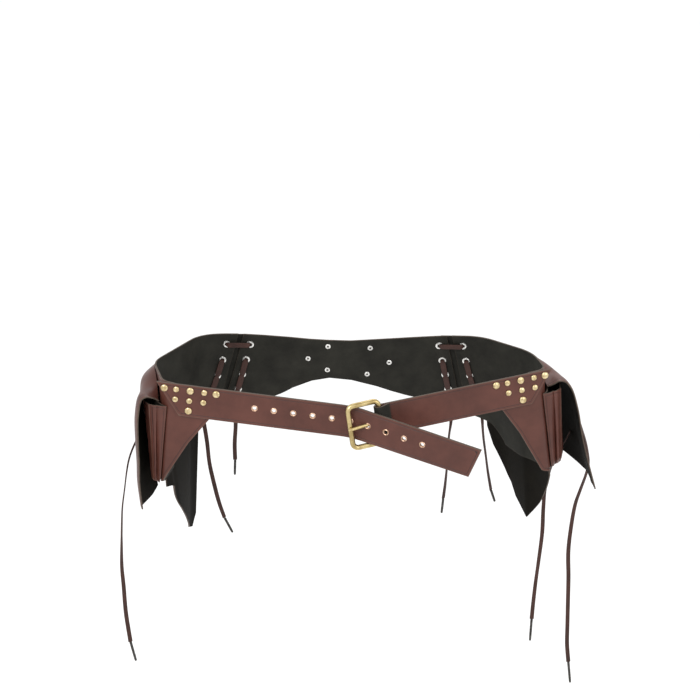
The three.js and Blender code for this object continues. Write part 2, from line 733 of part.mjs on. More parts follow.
function pouchSolid(side, wall) {
  const levels = POUCH_LEVELS.map((level, index) => {
    const last = index === POUCH_LEVELS.length - 1;
    const down = level.down * POUCH_HEIGHT - (last ? wall : 0) - (index === 0 && wall ? wall : 0);
    return { h: POUCH_TOP + down, outline: pouchOutline(side, level, wall) };
  });
  const count = levels[0].outline.length;
  const positions = [];
  levels.forEach(({ h, outline }) => outline.forEach(({ along, out }) => {
    const fromCorner = POUCH_FROM_CORNER + along;
    const depth = pouchBack(side, fromCorner) + out;
    positions.push(...ring.place(side.along(fromCorner), h, depth).toArray());
  }));
  const index = [];
  for (let k = 0; k < levels.length - 1; k += 1) {
    for (let i = 0; i < count; i += 1) {
      const next = (i + 1) % count;
      const [a, b] = [k * count + i, k * count + next];
      index.push(a, b, b + count, a, b + count, a + count);
    }
  }
  [0, levels.length - 1].forEach((k) => {
    const contour = levels[k].outline.map(({ along, out }) => new THREE.Vector2(along, out));
    THREE.ShapeUtils.triangulateShape(contour, []).forEach(([a, b, c]) => {
      const corners = [a, b, c].map((corner) => k * count + corner);
      index.push(...(k === 0 ? corners : corners.reverse()));
    });
  });
  const geometry = new THREE.BufferGeometry();
  geometry.setAttribute('position', new THREE.Float32BufferAttribute(positions, 3));
  geometry.setIndex(index);
  return facingOut(geometry);
}
sides.forEach((side) => {
  const shell = cut(pouchSolid(side, 0), [pouchSolid(side, POUCH_WALL)]);
  addPiece(`pouch_${side.side}`, shell, palette.leather);
});

// Flaps: rooted on the side panel, over the pouch's mouth and down outside it
function runCurve(rows) {
  return new THREE.CatmullRomCurve3(rows.map(([out, down]) => new THREE.Vector3(out, down, 0)));
}
sides.forEach((side) => {
  const front = runCurve(FLAP_RUN[side.side].front);
  const rear = runCurve(FLAP_RUN[side.side].rear);
  const point = (share, t) => {
    const blend = THREE.MathUtils.smoothstep(share, 0, FLAP_TURN);
    const run = front.getPoint(t).lerp(rear.getPoint(t), blend);
    const cutTo = valueAt(FLAP_OUTLINE, 'along', 'bottom', share);
    const down = run.y * THREE.MathUtils.lerp(1, cutTo, t * t);
    return ring.place(side.along(FLAP_FROM_CORNER + share * FLAP_LENGTH), down, onSidePanel + run.x);
  };
  const list = stations(FLAP_OUTLINE, 'along', FLAP_LENGTH, SHEET_STEP);
  const face = (i, j, layer) => {
    const [share, t] = [list[i], j / FLAP_STEPS];
    const near = 1e-3;
    const alongStep = point(share + near, t).sub(point(share - near, t));
    const downStep = point(share, Math.min(1, t + near)).sub(point(share, Math.max(0, t - near)));
    const normal = alongStep.cross(downStep).normalize().multiplyScalar(-side.turn);
    return point(share, t).addScaledVector(normal, layer * FLAP_WALL);
  };
  const flap = wallGeometry(list.length, FLAP_STEPS + 1, face);
  addPiece(`pouch_flap_${side.side}`, flap, palette.leather);
});

// The buckle's axes: its hinge bar runs down inside the short strap's turned end, and its far
// bar lies on the long strap's face
const wireSeat = STRAP_WALL + CLEARANCE + BUCKLE_WIRE / 2;
const hingeFrame = shortStrap.at(shortStrap.length);
const hingeMiddle = shortStrap.place(shortStrap.length, STRAP_WIDTH / 2, wireSeat);
const farPoint = longStrap.place(longStrap.marks[1], STRAP_WIDTH / 2, wireSeat + 2 * LAYER_GAP);
const barAxis = hingeFrame.down.clone();
const toFar = farPoint.clone().sub(hingeMiddle);
toFar.addScaledVector(barAxis, -toFar.dot(barAxis));
const buckleSpan = toFar.length();
toFar.normalize();
const buckleFace = barAxis.clone().cross(toFar).normalize();
if (buckleFace.dot(hingeFrame.out) < 0) buckleFace.negate();
const buckleBasis = new THREE.Matrix4().makeBasis(toFar, barAxis, toFar.clone().cross(barAxis));
buckleBasis.setPosition(hingeMiddle);

// Buckle frame: one wire bent round a rounded rectangle
function wireLoop(length, height, corner, wire) {
  const shape = new THREE.Path();
  const half = height / 2;
  shape.moveTo(0, -half + corner);
  shape.lineTo(0, half - corner);
  shape.absarc(corner, half - corner, corner, Math.PI, Math.PI / 2, true);
  shape.lineTo(length - corner, half);
  shape.absarc(length - corner, half - corner, corner, Math.PI / 2, 0, true);
  shape.lineTo(length, -half + corner);
  shape.absarc(length - corner, -half + corner, corner, 0, -Math.PI / 2, true);
  shape.lineTo(corner, -half);
  shape.absarc(corner, -half + corner, corner, -Math.PI / 2, -Math.PI, true);
  const line = shape.getPoints(3);
  const points = line.filter((point, i) => i === 0 || point.distanceTo(line[i - 1]) > 0.01);
  if (points[0].distanceTo(points[points.length - 1]) < 0.01) points.pop();
  const positions = [];
  const index = [];
  const count = points.length;
  points.forEach((point, i) => {
    const before = points[(i + count - 1) % count];
    const after = points[(i + 1) % count];
    const run = after.clone().sub(before).normalize();
    for (let k = 0; k < ROUND_SIDES; k += 1) {
      const angle = (2 * Math.PI * k) / ROUND_SIDES;
      const side = (Math.cos(angle) * wire) / 2;
      positions.push(point.x - run.y * side, point.y + run.x * side, (Math.sin(angle) * wire) / 2);
    }
  });
  for (let i = 0; i < count; i += 1) {
    for (let k = 0; k < ROUND_SIDES; k += 1) {
      const a = i * ROUND_SIDES + k;
      const b = i * ROUND_SIDES + ((k + 1) % ROUND_SIDES);
      const c = ((i + 1) % count) * ROUND_SIDES + ((k + 1) % ROUND_SIDES);
      const d = ((i + 1) % count) * ROUND_SIDES + k;
      index.push(a, b, c, a, c, d);
    }
  }
  const geometry = new THREE.BufferGeometry();
  geometry.setAttribute('position', new THREE.Float32BufferAttribute(positions, 3));
  geometry.setIndex(index);
  return facingOut(geometry);
}
const frameGeometry = wireLoop(buckleSpan, BUCKLE_HEIGHT - BUCKLE_WIRE, BUCKLE_CORNER, BUCKLE_WIRE);
addPiece('buckle_frame', frameGeometry.applyMatrix4(buckleBasis), palette.brass);

// Prong: a ring on the hinge bar and a pin that rests on the far bar
function fromUpright(axis) {
  return new THREE.Quaternion().setFromUnitVectors(new THREE.Vector3(0, 1, 0), axis);
}
function rodBetween(from, to, radius) {
  const axis = to.clone().sub(from);
  const rod = new THREE.CylinderGeometry(radius, radius, axis.length(), ROUND_SIDES);
  rod.translate(0, axis.length() / 2, 0);
  rod.applyQuaternion(fromUpright(axis.normalize()));
  return rod.translate(from.x, from.y, from.z);
}
const pinInner = BUCKLE_WIRE / 2 + CLEARANCE;
const pinOuter = pinInner + PRONG_RING_WALL;
const pinRing = new THREE.LatheGeometry([
  new THREE.Vector2(pinInner, -PRONG_WIRE / 2),
  new THREE.Vector2(pinOuter, -PRONG_WIRE / 2),
  new THREE.Vector2(pinOuter, PRONG_WIRE / 2),
  new THREE.Vector2(pinInner, PRONG_WIRE / 2),
  new THREE.Vector2(pinInner, -PRONG_WIRE / 2),
], 2 * HOLE_SIDES);
const pinSeat = BUCKLE_WIRE / 2 + 2 * CLEARANCE + PRONG_WIRE / 2;
const pinReach = buckleSpan + BUCKLE_WIRE / 2 + PRONG_PAST_BAR;
const pinStart = hingeMiddle.clone().addScaledVector(toFar, (pinInner + pinOuter) / 2);
const pinEnd = hingeMiddle.clone().addScaledVector(toFar, pinReach);
pinEnd.addScaledVector(buckleFace, (pinSeat * pinReach) / buckleSpan);
const ringOnBar = pinRing.applyQuaternion(fromUpright(barAxis));
ringOnBar.translate(hingeMiddle.x, hingeMiddle.y, hingeMiddle.z);
addPiece('buckle_prong', join([ringOnBar, rodBetween(pinStart, pinEnd, PRONG_WIRE / 2)]), palette.brass);

// Where the prong goes through the long strap: its hole there sets the row of holes
const pinSlope = pinEnd.clone().sub(pinStart).normalize();
const aboveThePin = (s) => {
  const point = longStrap.place(s, STRAP_WIDTH / 2, STRAP_WALL / 2).sub(pinStart);
  return point.addScaledVector(pinSlope, -point.dot(pinSlope)).dot(buckleFace);
};
let [nearHole, farHole] = [longStrap.marks[1], longStrap.marks[1] - BUCKLE_LENGTH];
for (let i = 0; i < HALVINGS; i += 1) {
  const middle = (nearHole + farHole) / 2;
  if (aboveThePin(middle) < 0) nearHole = middle;
  else farHole = middle;
}
const strapHolePlace = (number) => nearHole + (PRONG_HOLE - number) * STRAP_HOLE_PITCH;

// A strap over the whole of a course, with stations only where it bends or its end slants
function strapSheet(course, shares, edgeLean) {
  return sheet(course, {
    from: 0,
    to: course.length,
    outline: shares.map((along) => ({ along, top: 0, bottom: 1 })),
    height: STRAP_WIDTH,
    depth: 0,
    wall: STRAP_WALL,
    edgeLean,
    rows: 2,
    step: course.length,
  });
}

// Long strap
const pinRoom = rodBetween(pinStart, pinEnd, PRONG_WIRE / 2 + CLEARANCE);
const strapHoles = Array.from({ length: STRAP_HOLES }, (_, k) => holeAt(
  longStrap, strapHolePlace(k + 1), STRAP_HOLE_LEVEL, STRAP_HOLE, 0, STRAP_WALL,
));
const tipLean = TIP_POINT / STRAP_WIDTH;
const endLean = STRAP_POINT / STRAP_WIDTH;
const longLean = (share) => tipLean * (1 - THREE.MathUtils.smoothstep(share, 0, LEANING_TIP))
  - endLean * THREE.MathUtils.smoothstep(share, 1 - LEANING_SEAM, 1);
const bendShare = longStrap.marks[1] / longStrap.length;
const bendStep = STRAP_BEND / 2 / longStrap.length;
const aroundBend = [-2, -1, 0, 1, 2].map((step) => bendShare + step * bendStep);
const longSheet = strapSheet(longStrap, [0, LEANING_TIP, ...aroundBend, 1 - LEANING_SEAM, 1], longLean);
const longCuts = [...strapHoles, ...studHoles(strapEnds[0]), pinRoom];
addPiece('long_strap', cut(longSheet, longCuts), palette.leather);

// Short strap: its turned end goes round the hinge bar and lies on its face
const shortLean = (share) => endLean * (1 - THREE.MathUtils.smoothstep(share, 0, 2 * LEANING_SEAM));
const shortSheet = strapSheet(shortStrap, [0, 2 * LEANING_SEAM, 1], shortLean);
const turn = new THREE.Shape();
const turnInner = BUCKLE_WIRE / 2 + CLEARANCE;
const turnOuter = turnInner + STRAP_WALL;
turn.moveTo(-STRAP_WALL, 0);
turn.lineTo(0, 0);
turn.absarc(0, turnOuter, turnOuter, -Math.PI / 2, Math.PI / 2, false);
turn.lineTo(-TURNED_END, 2 * STRAP_WALL + CLEARANCE);
turn.lineTo(-TURNED_END, STRAP_WALL + CLEARANCE);
turn.lineTo(0, turnOuter + turnInner);
turn.absarc(0, turnOuter, turnInner, Math.PI / 2, -Math.PI / 2, true);
turn.lineTo(-STRAP_WALL, STRAP_WALL);
const turnSolid = new THREE.ExtrudeGeometry(turn, {
  depth: STRAP_WIDTH, bevelEnabled: false, curveSegments: HOLE_SIDES,
});
const turnAlong = hingeFrame.out.clone().cross(hingeFrame.down).normalize();
if (turnAlong.dot(hingeFrame.along) < 0) turnAlong.negate();
const turnAcross = turnAlong.clone().cross(hingeFrame.out);
const turnBasis = new THREE.Matrix4().makeBasis(turnAlong, hingeFrame.out, turnAcross);
const turnUp = turnAcross.dot(hingeFrame.down) < 0;
turnBasis.setPosition(shortStrap.place(shortStrap.length, turnUp ? STRAP_WIDTH : 0, 0));
turnSolid.applyMatrix4(turnBasis);
const pinSlot = new THREE.BoxGeometry(4 * turnOuter, 3 * turnOuter, PRONG_WIRE + 2 * SLOT_GAP);
pinSlot.applyMatrix4(turnBasis.clone().setPosition(hingeMiddle));
const shortSolid = cut(join([shortSheet, turnSolid]), [pinSlot, ...studHoles(strapEnds[1])]);
addPiece('short_strap', shortSolid, palette.leather);

// Studs and back rivets: a domed cap on a shank, with a washer inside where one shows
function rivetGeometry(cap, reach, washer) {
  const rise = cap * CAP_RISE;
  const profile = [new THREE.Vector2(0, -reach)];
  if (washer) {
    profile[0].y -= CLEARANCE + WASHER_THICK;
    profile.push(new THREE.Vector2(washer / 2, profile[0].y));
    profile.push(new THREE.Vector2(washer / 2, -reach - CLEARANCE));
    profile.push(new THREE.Vector2(SHANK / 2, -reach - CLEARANCE));
  } else {
    profile.push(new THREE.Vector2(SHANK / 2, -reach));
  }
  profile.push(new THREE.Vector2(SHANK / 2, CLEARANCE), new THREE.Vector2(cap / 2, CLEARANCE));
  profile.push(new THREE.Vector2(cap * CAP_SHOULDER.out, CLEARANCE + rise * CAP_SHOULDER.up));
  profile.push(new THREE.Vector2(0, CLEARANCE + rise));
  return new THREE.LatheGeometry(profile, ROUND_SIDES);
}
strapEnds.forEach((end) => STUDS.forEach((stud, k) => {
  const { s, h } = studPlace(end, stud);
  const cap = rivetGeometry(stud.size, onPanel + STRAP_WALL - CLEARANCE, 0);
  addPiece(`stud_${end.side}_${k + 1}`, standOn(cap, end.course, s, h, STRAP_WALL), palette.brass);
}));
BACK_RIVETS.forEach((rivet, k) => {
  const { s, h } = rivetPlace(rivet);
  const cap = rivetGeometry(RIVET_CAP, PANEL_WALL, RIVET_WASHER);
  addPiece(`back_rivet_${k + 1}`, standOn(cap, ring, s, h, PANEL_WALL), palette.brass);
});

// Free lace ends and their aglets
const cordOut = laceOutside + (LACE_THICK + CLEARANCE + LACE_DIAMETER) / 2;
LACE_ENDS.forEach((end) => {
  const way = end.way.map((point) => new THREE.Vector3(...point));
  if (end.start) way.unshift(new THREE.Vector3(...end.start));
  if (end.hole) {
    const { s, h } = laceHole(lacings[end.hole.lacing], end.hole.column, LACE_ROWS - 1);
    way.unshift(ring.place(s, h, cordOut));
  }
  const curve = new THREE.CatmullRomCurve3(way, false, 'centripetal');
  const round = new THREE.Shape().absarc(0, 0, LACE_DIAMETER / 2, 0, 2 * Math.PI, false);
  const cord = new THREE.ExtrudeGeometry(round, {
    extrudePath: curve,
    steps: Math.ceil(curve.getLength() / LACE_STEP),
    curveSegments: ROUND_SIDES / 2,
    bevelEnabled: false,
  });
  addPiece(`lace_${end.name}`, cord, palette.lace);
  const from = way[way.length - 1];
  const to = new THREE.Vector3(...end.tip);
  const gap = to.clone().sub(from).setLength(2 * CLEARANCE);
  addPiece(`aglet_${end.name}`, rodBetween(from.add(gap), to, AGLET_DIAMETER / 2), palette.tip);
});

export default belt;
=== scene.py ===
# %% [markdown]
# A leather hip belt with a pouch at each side, hung up as if worn. Every wall of the real belt
# is a flat piece of hide that was cut, creased along its edges and bent round the body. So
# each piece here is a flat grid laid on a line round the hips, and gets its thickness last.

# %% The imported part
import math

import bmesh
import bpy
from mathutils import Matrix, Vector


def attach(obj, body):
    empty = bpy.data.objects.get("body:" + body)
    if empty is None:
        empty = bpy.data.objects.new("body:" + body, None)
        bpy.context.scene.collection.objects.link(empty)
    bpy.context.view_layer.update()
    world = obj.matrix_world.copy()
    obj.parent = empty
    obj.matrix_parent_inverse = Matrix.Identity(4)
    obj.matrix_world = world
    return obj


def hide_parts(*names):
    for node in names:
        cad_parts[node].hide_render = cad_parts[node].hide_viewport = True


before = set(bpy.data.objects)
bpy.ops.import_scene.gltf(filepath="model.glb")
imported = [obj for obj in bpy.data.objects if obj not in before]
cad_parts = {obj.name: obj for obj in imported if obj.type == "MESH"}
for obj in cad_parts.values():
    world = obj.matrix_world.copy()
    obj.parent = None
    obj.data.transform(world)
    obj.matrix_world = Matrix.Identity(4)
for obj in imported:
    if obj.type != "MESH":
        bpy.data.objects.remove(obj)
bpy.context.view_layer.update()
MM = 0.001
print(len(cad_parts), "solids in the part")

# %% [markdown]
# The camera stands in front and above, far off with a long lens, so the back of the belt
# shows over its front strap. The belt hangs in a plain bright room over a pale floor.

# %% Camera
CAMERA_PLACE = (0.0, -1.7786, 0.6328)
CAMERA_DIP = math.radians(19.16)
LENS = 77.14

eye = bpy.data.cameras.new("eye")
eye.lens = LENS
eye.sensor_width = 36.0
eye.clip_end = 20.0
camera = bpy.data.objects.new("camera", eye)
camera.location = CAMERA_PLACE
camera.rotation_euler = (math.pi / 2 - CAMERA_DIP, 0.0, 0.0)
bpy.context.collection.objects.link(camera)
bpy.context.scene.camera = camera

# %% Room and lights
FLOOR_LEVEL = -1.1
FLOOR_HALF = 30.0


def make_light(name, place, size, power):
    lamp = bpy.data.lights.new(name, "AREA")
    lamp.shape = "DISK"
    lamp.size = size
    lamp.energy = power
    light = bpy.data.objects.new(name, lamp)
    light.location = place
    light.rotation_euler = Vector(place).to_track_quat("Z", "Y").to_euler()
    bpy.context.collection.objects.link(light)
    return light


make_light("key", (-0.9, -1.6, 1.3), 0.9, 20.0)
make_light("fill", (1.3, -1.3, 0.7), 1.2, 8.0)
make_light("back", (0.2, 1.3, 1.5), 1.0, 8.0)

world = bpy.data.worlds.new("room")
world.use_nodes = True
world.node_tree.nodes["Background"].inputs["Color"].default_value = (1.0, 1.0, 1.0, 1.0)
world.node_tree.nodes["Background"].inputs["Strength"].default_value = 1.08
bpy.context.scene.world = world
bpy.context.scene.view_settings.view_transform = "Standard"

plain = bpy.data.materials.new("pale_floor")
plain.use_nodes = True
plain.node_tree.nodes["Principled BSDF"].inputs["Base Color"].default_value = (0.95, 0.95, 0.95, 1.0)
plain.node_tree.nodes["Principled BSDF"].inputs["Roughness"].default_value = 0.9
ground = bmesh.new()
bmesh.ops.create_grid(ground, x_segments=1, y_segments=1, size=FLOOR_HALF)
bmesh.ops.translate(ground, vec=(0.0, 0.0, FLOOR_LEVEL), verts=ground.verts)
floor_mesh = bpy.data.meshes.new("floor")
ground.to_mesh(floor_mesh)
ground.free()
floor_mesh.materials.append(plain)
floor = bpy.data.objects.new("floor", floor_mesh)
bpy.context.collection.objects.link(floor)

# %% [markdown]
# Hide has two faces and an edge. The grain side is smooth, with fine pores and cloudy dye;
# the flesh side is matt and fibrous; the cut edge is paler. Cloud, pores and fibres are one
# node group, used by each kind of hide and by the laces with their own sizes.

# %% Node groups


def add_socket(group, name, kind, way, value=None):
    socket = group.interface.new_socket(name=name, in_out=way, socket_type=kind)
    if value is not None:
        socket.default_value = value


def hide_surface():
    """Cloudy tone and fine relief of leather, by Object coordinates."""
    group = bpy.data.node_groups.new("hide_surface", "ShaderNodeTree")
    add_socket(group, "Cloud size", "NodeSocketFloat", "INPUT", 30.0)
    add_socket(group, "Pore size", "NodeSocketFloat", "INPUT", 900.0)
    add_socket(group, "Fibre", "NodeSocketFloat", "INPUT", 0.3)
    add_socket(group, "Tone", "NodeSocketFloat", "OUTPUT")
    add_socket(group, "Relief", "NodeSocketFloat", "OUTPUT")
    nodes = group.nodes
    link = group.links.new
    inside = nodes.new("NodeGroupInput")
    outside = nodes.new("NodeGroupOutput")
    place = nodes.new("ShaderNodeTexCoord")
    cloud = nodes.new("ShaderNodeTexNoise")
    cloud.inputs["Detail"].default_value = 5.0
    cloud.inputs["Roughness"].default_value = 0.62
    pores = nodes.new("ShaderNodeTexVoronoi")
    pores.feature = "SMOOTH_F1"
    fibre = nodes.new("ShaderNodeTexNoise")
    fibre.inputs["Detail"].default_value = 4.0
    mix = nodes.new("ShaderNodeMix")
    link(place.outputs["Object"], cloud.inputs["Vector"])
    link(place.outputs["Object"], pores.inputs["Vector"])
    link(place.outputs["Object"], fibre.inputs["Vector"])
    link(inside.outputs["Cloud size"], cloud.inputs["Scale"])
    link(inside.outputs["Pore size"], pores.inputs["Scale"])
    link(inside.outputs["Pore size"], fibre.inputs["Scale"])
    link(inside.outputs["Fibre"], mix.inputs["Factor"])
    link(pores.outputs["Distance"], mix.inputs["A"])
    link(fibre.outputs["Fac"], mix.inputs["B"])
    link(mix.outputs["Result"], outside.inputs["Relief"])
    link(cloud.outputs["Fac"], outside.inputs["Tone"])
    return group


def edge_lines():
    """Masks from the distance to a piece's cut edge: a creased line and the rubbed rim."""
    group = bpy.data.node_groups.new("edge_lines", "ShaderNodeTree")
    add_socket(group, "Crease at", "NodeSocketFloat", "INPUT", 0.0032)
    add_socket(group, "Crease half width", "NodeSocketFloat", "INPUT", 0.0006)
    add_socket(group, "Rub width", "NodeSocketFloat", "INPUT", 0.0012)
    add_socket(group, "Crease", "NodeSocketFloat", "OUTPUT")
    add_socket(group, "Rub", "NodeSocketFloat", "OUTPUT")
    nodes = group.nodes
    link = group.links.new
    inside = nodes.new("NodeGroupInput")
    outside = nodes.new("NodeGroupOutput")
    rim = nodes.new("ShaderNodeAttribute")
    rim.attribute_name = "rim"
    away = nodes.new("ShaderNodeMath")
    away.operation = "SUBTRACT"
    far = nodes.new("ShaderNodeMath")
    far.operation = "ABSOLUTE"
    crease = nodes.new("ShaderNodeMapRange")
    crease.interpolation_type = "SMOOTHSTEP"
    crease.inputs["To Min"].default_value = 1.0
    crease.inputs["To Max"].default_value = 0.0
    rub = nodes.new("ShaderNodeMapRange")
    rub.inputs["To Min"].default_value = 1.0
    rub.inputs["To Max"].default_value = 0.0
    link(rim.outputs["Fac"], away.inputs[0])
    link(inside.outputs["Crease at"], away.inputs[1])
    link(away.outputs[0], far.inputs[0])
    link(far.outputs[0], crease.inputs["Value"])
    link(inside.outputs["Crease half width"], crease.inputs["From Max"])
    link(rim.outputs["Fac"], rub.inputs["Value"])
    link(inside.outputs["Rub width"], rub.inputs["From Max"])
    link(crease.outputs["Result"], outside.inputs["Crease"])
    link(rub.outputs["Result"], outside.inputs["Rub"])
    return group


SURFACE = hide_surface()
LINES = edge_lines()

# %% Leather, lace and metal


def start_material(name, roughness, metallic=0.0):
    material = bpy.data.materials.new(name)
    material.use_nodes = True
    shader = material.node_tree.nodes["Principled BSDF"]
    shader.inputs["Roughness"].default_value = roughness
    shader.inputs["Metallic"].default_value = metallic
    return material, shader


def add_node(material, kind, **values):
    node = material.node_tree.nodes.new(kind)
    for name, value in values.items():
        setattr(node, name, value)
    return node


def ramp_between(material, source, low, high, stops):
    """A colour ramp from one colour to another over a mask."""
    ramp = add_node(material, "ShaderNodeValToRGB")
    ramp.color_ramp.elements[0].position = stops[0]
    ramp.color_ramp.elements[0].color = (*low, 1.0)
    ramp.color_ramp.elements[1].position = stops[1]
    ramp.color_ramp.elements[1].color = (*high, 1.0)
    material.node_tree.links.new(source, ramp.inputs["Fac"])
    return ramp.outputs["Color"]


def mix_over(material, mask, under, over, strength):
    """Paints one colour over another where a mask says."""
    weight = add_node(material, "ShaderNodeMath", operation="MULTIPLY")
    weight.inputs[1].default_value = strength
    mix = add_node(material, "ShaderNodeMix", data_type="RGBA")
    link = material.node_tree.links.new
    link(mask, weight.inputs[0])
    link(weight.outputs[0], mix.inputs["Factor"])
    link(under, mix.inputs[6])
    mix.inputs[7].default_value = (*over, 1.0)
    return mix.outputs[2]


def make_hide(name, dark, light, cloud, pore, fibre, depth, roughness, sheen, line=None, rub=None):
    material, shader = start_material(name, roughness)
    shader.inputs["Specular IOR Level"].default_value = sheen
    link = material.node_tree.links.new
    surface = add_node(material, "ShaderNodeGroup", node_tree=SURFACE)
    surface.inputs["Cloud size"].default_value = cloud
    surface.inputs["Pore size"].default_value = pore
    surface.inputs["Fibre"].default_value = fibre
    colour = ramp_between(material, surface.outputs["Tone"], dark, light, (0.3, 0.7))
    height = surface.outputs["Relief"]
    if line or rub:
        lines = add_node(material, "ShaderNodeGroup", node_tree=LINES)
        if rub:
            colour = mix_over(material, lines.outputs["Rub"], colour, rub, 0.75)
        if line:
            colour = mix_over(material, lines.outputs["Crease"], colour, line, 0.8)
            groove = add_node(material, "ShaderNodeMath", operation="MULTIPLY_ADD")
            groove.inputs[1].default_value = -6.0
            link(lines.outputs["Crease"], groove.inputs[0])
            link(height, groove.inputs[2])
            height = groove.outputs[0]
    link(colour, shader.inputs["Base Color"])
    bump = add_node(material, "ShaderNodeBump")
    bump.inputs["Distance"].default_value = depth
    bump.inputs["Strength"].default_value = 0.5
    link(height, bump.inputs["Height"])
    link(bump.outputs["Normal"], shader.inputs["Normal"])
    rough = add_node(material, "ShaderNodeMapRange")
    rough.inputs["To Min"].default_value = roughness - 0.08
    rough.inputs["To Max"].default_value = roughness + 0.1
    link(surface.outputs["Tone"], rough.inputs["Value"])
    link(rough.outputs["Result"], shader.inputs["Roughness"])
    return material


GRAIN_DARK = (0.058, 0.0175, 0.0115)
GRAIN_LIGHT = (0.098, 0.0315, 0.0215)
LINE_DARK = (0.014, 0.006, 0.005)
RUB_PALE = (0.115, 0.068, 0.048)
FLESH_DARK = (0.011, 0.0105, 0.0085)
FLESH_LIGHT = (0.024, 0.023, 0.0185)
FLESH_RUB = (0.030, 0.024, 0.018)
# Darker copies of the flesh colours for the hanging leaves and flaps: painted shade
SHADED_FLESH_DARK = (0.0035, 0.003, 0.0022)
SHADED_FLESH_LIGHT = (0.0085, 0.0072, 0.0052)
SHADED_FLESH_RUB = (0.012, 0.0095, 0.007)
EDGE_DARK = (0.045, 0.032, 0.024)
EDGE_LIGHT = (0.095, 0.070, 0.054)
LACE_DARK = (0.028, 0.011, 0.008)
LACE_LIGHT = (0.056, 0.023, 0.017)
grain = make_hide("grain_side", GRAIN_DARK, GRAIN_LIGHT, cloud=22.0, pore=1400.0, fibre=0.25,
                  depth=0.00012, roughness=0.42, sheen=0.35, line=LINE_DARK, rub=RUB_PALE)
flesh = make_hide("flesh_side", FLESH_DARK, FLESH_LIGHT, cloud=34.0, pore=1500.0, fibre=0.8,
                  depth=0.0002, roughness=0.72, sheen=0.12, rub=FLESH_RUB)
shaded_flesh = make_hide("painted_shade_flesh_side", SHADED_FLESH_DARK, SHADED_FLESH_LIGHT, cloud=34.0, pore=1500.0, fibre=0.8,
                   depth=0.0002, roughness=0.74, sheen=0.05, rub=SHADED_FLESH_RUB)
edge = make_hide("cut_edge", EDGE_DARK, EDGE_LIGHT, cloud=160.0, pore=2200.0, fibre=0.7,
                 depth=0.0002, roughness=0.6, sheen=0.2)
HIDE = [grain, flesh, edge]
# The leaves and the flaps hang free; their flesh side is a darker copy of the flesh colour, painted shade
SHADED_HANGING_HIDE = [grain, shaded_flesh, edge]
lace_hide = make_hide("lace_hide", LACE_DARK, LACE_LIGHT, cloud=60.0, pore=1600.0, fibre=0.6,
                      depth=0.00015, roughness=0.55, sheen=0.25)


def make_metal(name, dark, light, roughness, scale):
    """Metal with tarnish in soft patches."""
    material, shader = start_material(name, roughness, 1.0)
    link = material.node_tree.links.new
    place = add_node(material, "ShaderNodeTexCoord")
    patch = add_node(material, "ShaderNodeTexNoise")
    patch.inputs["Scale"].default_value = scale
    patch.inputs["Detail"].default_value = 5.0
    link(place.outputs["Object"], patch.inputs["Vector"])
    colour = ramp_between(material, patch.outputs["Fac"], dark, light, (0.35, 0.65))
    link(colour, shader.inputs["Base Color"])
    rough = add_node(material, "ShaderNodeMapRange")
    rough.inputs["To Min"].default_value = roughness + 0.15
    rough.inputs["To Max"].default_value = roughness - 0.05
    link(patch.outputs["Fac"], rough.inputs["Value"])
    link(rough.outputs["Result"], shader.inputs["Roughness"])
    bump = add_node(material, "ShaderNodeBump")
    bump.inputs["Distance"].default_value = 0.0001
    bump.inputs["Strength"].default_value = 0.3
    link(patch.outputs["Fac"], bump.inputs["Height"])
    link(bump.outputs["Normal"], shader.inputs["Normal"])
    return material


brass = make_metal("antique_brass", dark=(0.34, 0.25, 0.105), light=(0.60, 0.48, 0.24),
                   roughness=0.27, scale=110.0)
stud_metal = make_metal("stud_brass", dark=(0.42, 0.31, 0.15), light=(0.74, 0.61, 0.37),
                        roughness=0.28, scale=320.0)
silver = make_metal("nickel", dark=(0.42, 0.41, 0.39), light=(0.80, 0.79, 0.76),
                    roughness=0.24, scale=400.0)
aglet_metal = make_metal("aglet_metal", dark=(0.035, 0.033, 0.03), light=(0.09, 0.085, 0.08),
                         roughness=0.42, scale=300.0)
print("materials:", ", ".join(sorted(m.name for m in bpy.data.materials)))

# %% [markdown]
# The belt's top edge runs from the buckle round the left hip, the back and the right hip to
# the buckle again. A course is that line with a lean of the wall at each place, and gives a
# point at a distance along it, down the wall and out of it. All pieces are placed by it.

# %% Sizes of the belt, in millimetres
HALF_WIDTH = 246.0
HALF_DEPTH = 106.0
FRONT_SINK = 28.5
CLEARANCE = 0.3
LAYER_GAP = 1.9
PANEL_WALL = 2.0
LEAF_WALL = 2.0
FLAP_WALL = 1.8
POUCH_WALL = 1.6
STRAP_WALL = 3.0
TONGUE_WALL = 1.6
PANEL_HEIGHT = 160.0
BACK_HEIGHT = 128.0
LEAF_LENGTH = 290.0
STRAP_WIDTH = 40.0
STRAP_POINT = 31.0
TIP_POINT = 8.0
STRAP_OVERHANG = 10.0
STRAP_FLAT = 30.0
STRAP_BEND = 16.0
BUCKLE_LENGTH = 28.0
BUCKLE_TURN = math.radians(12.0)
# Corners: across and back as shares of the half sizes, sink as a share of the front's, then
# the rounding, and the lean in degrees as a wall comes to the corner and as it leaves it
RING = [
    ("left strap at the buckle", -0.024, -0.774, 0.92, 0, 2, 2),
    ("left corner", -0.919, -0.679, 0, 14, 2, 2),
    ("left hip", -1.0, 0, 0, 19, -7, -6),
    ("left back bend", -0.801, 1.0, 0, 26, 2, 12),
    ("left lacing", -0.642, 1.01, 0, 10, 14, 14),
    ("middle of the back", -0.02, 0.934, 0, 60, 15, 15),
    ("right lacing", 0.488, 0.934, 0, 20, 17, 17),
    ("right back bend", 0.699, 0.906, 0, 20, 17, 12),
    ("right hip", 0.943, 0.321, 0, 24, 7, 7),
    ("right corner", 0.984, -0.264, 0, 14, 4, 4),
    ("right strap at the buckle", 0.134, -0.7, 1.0, 0, 4, 4),
]
STRAP_TIP = (0.635, -1.33, 2.14, -4)


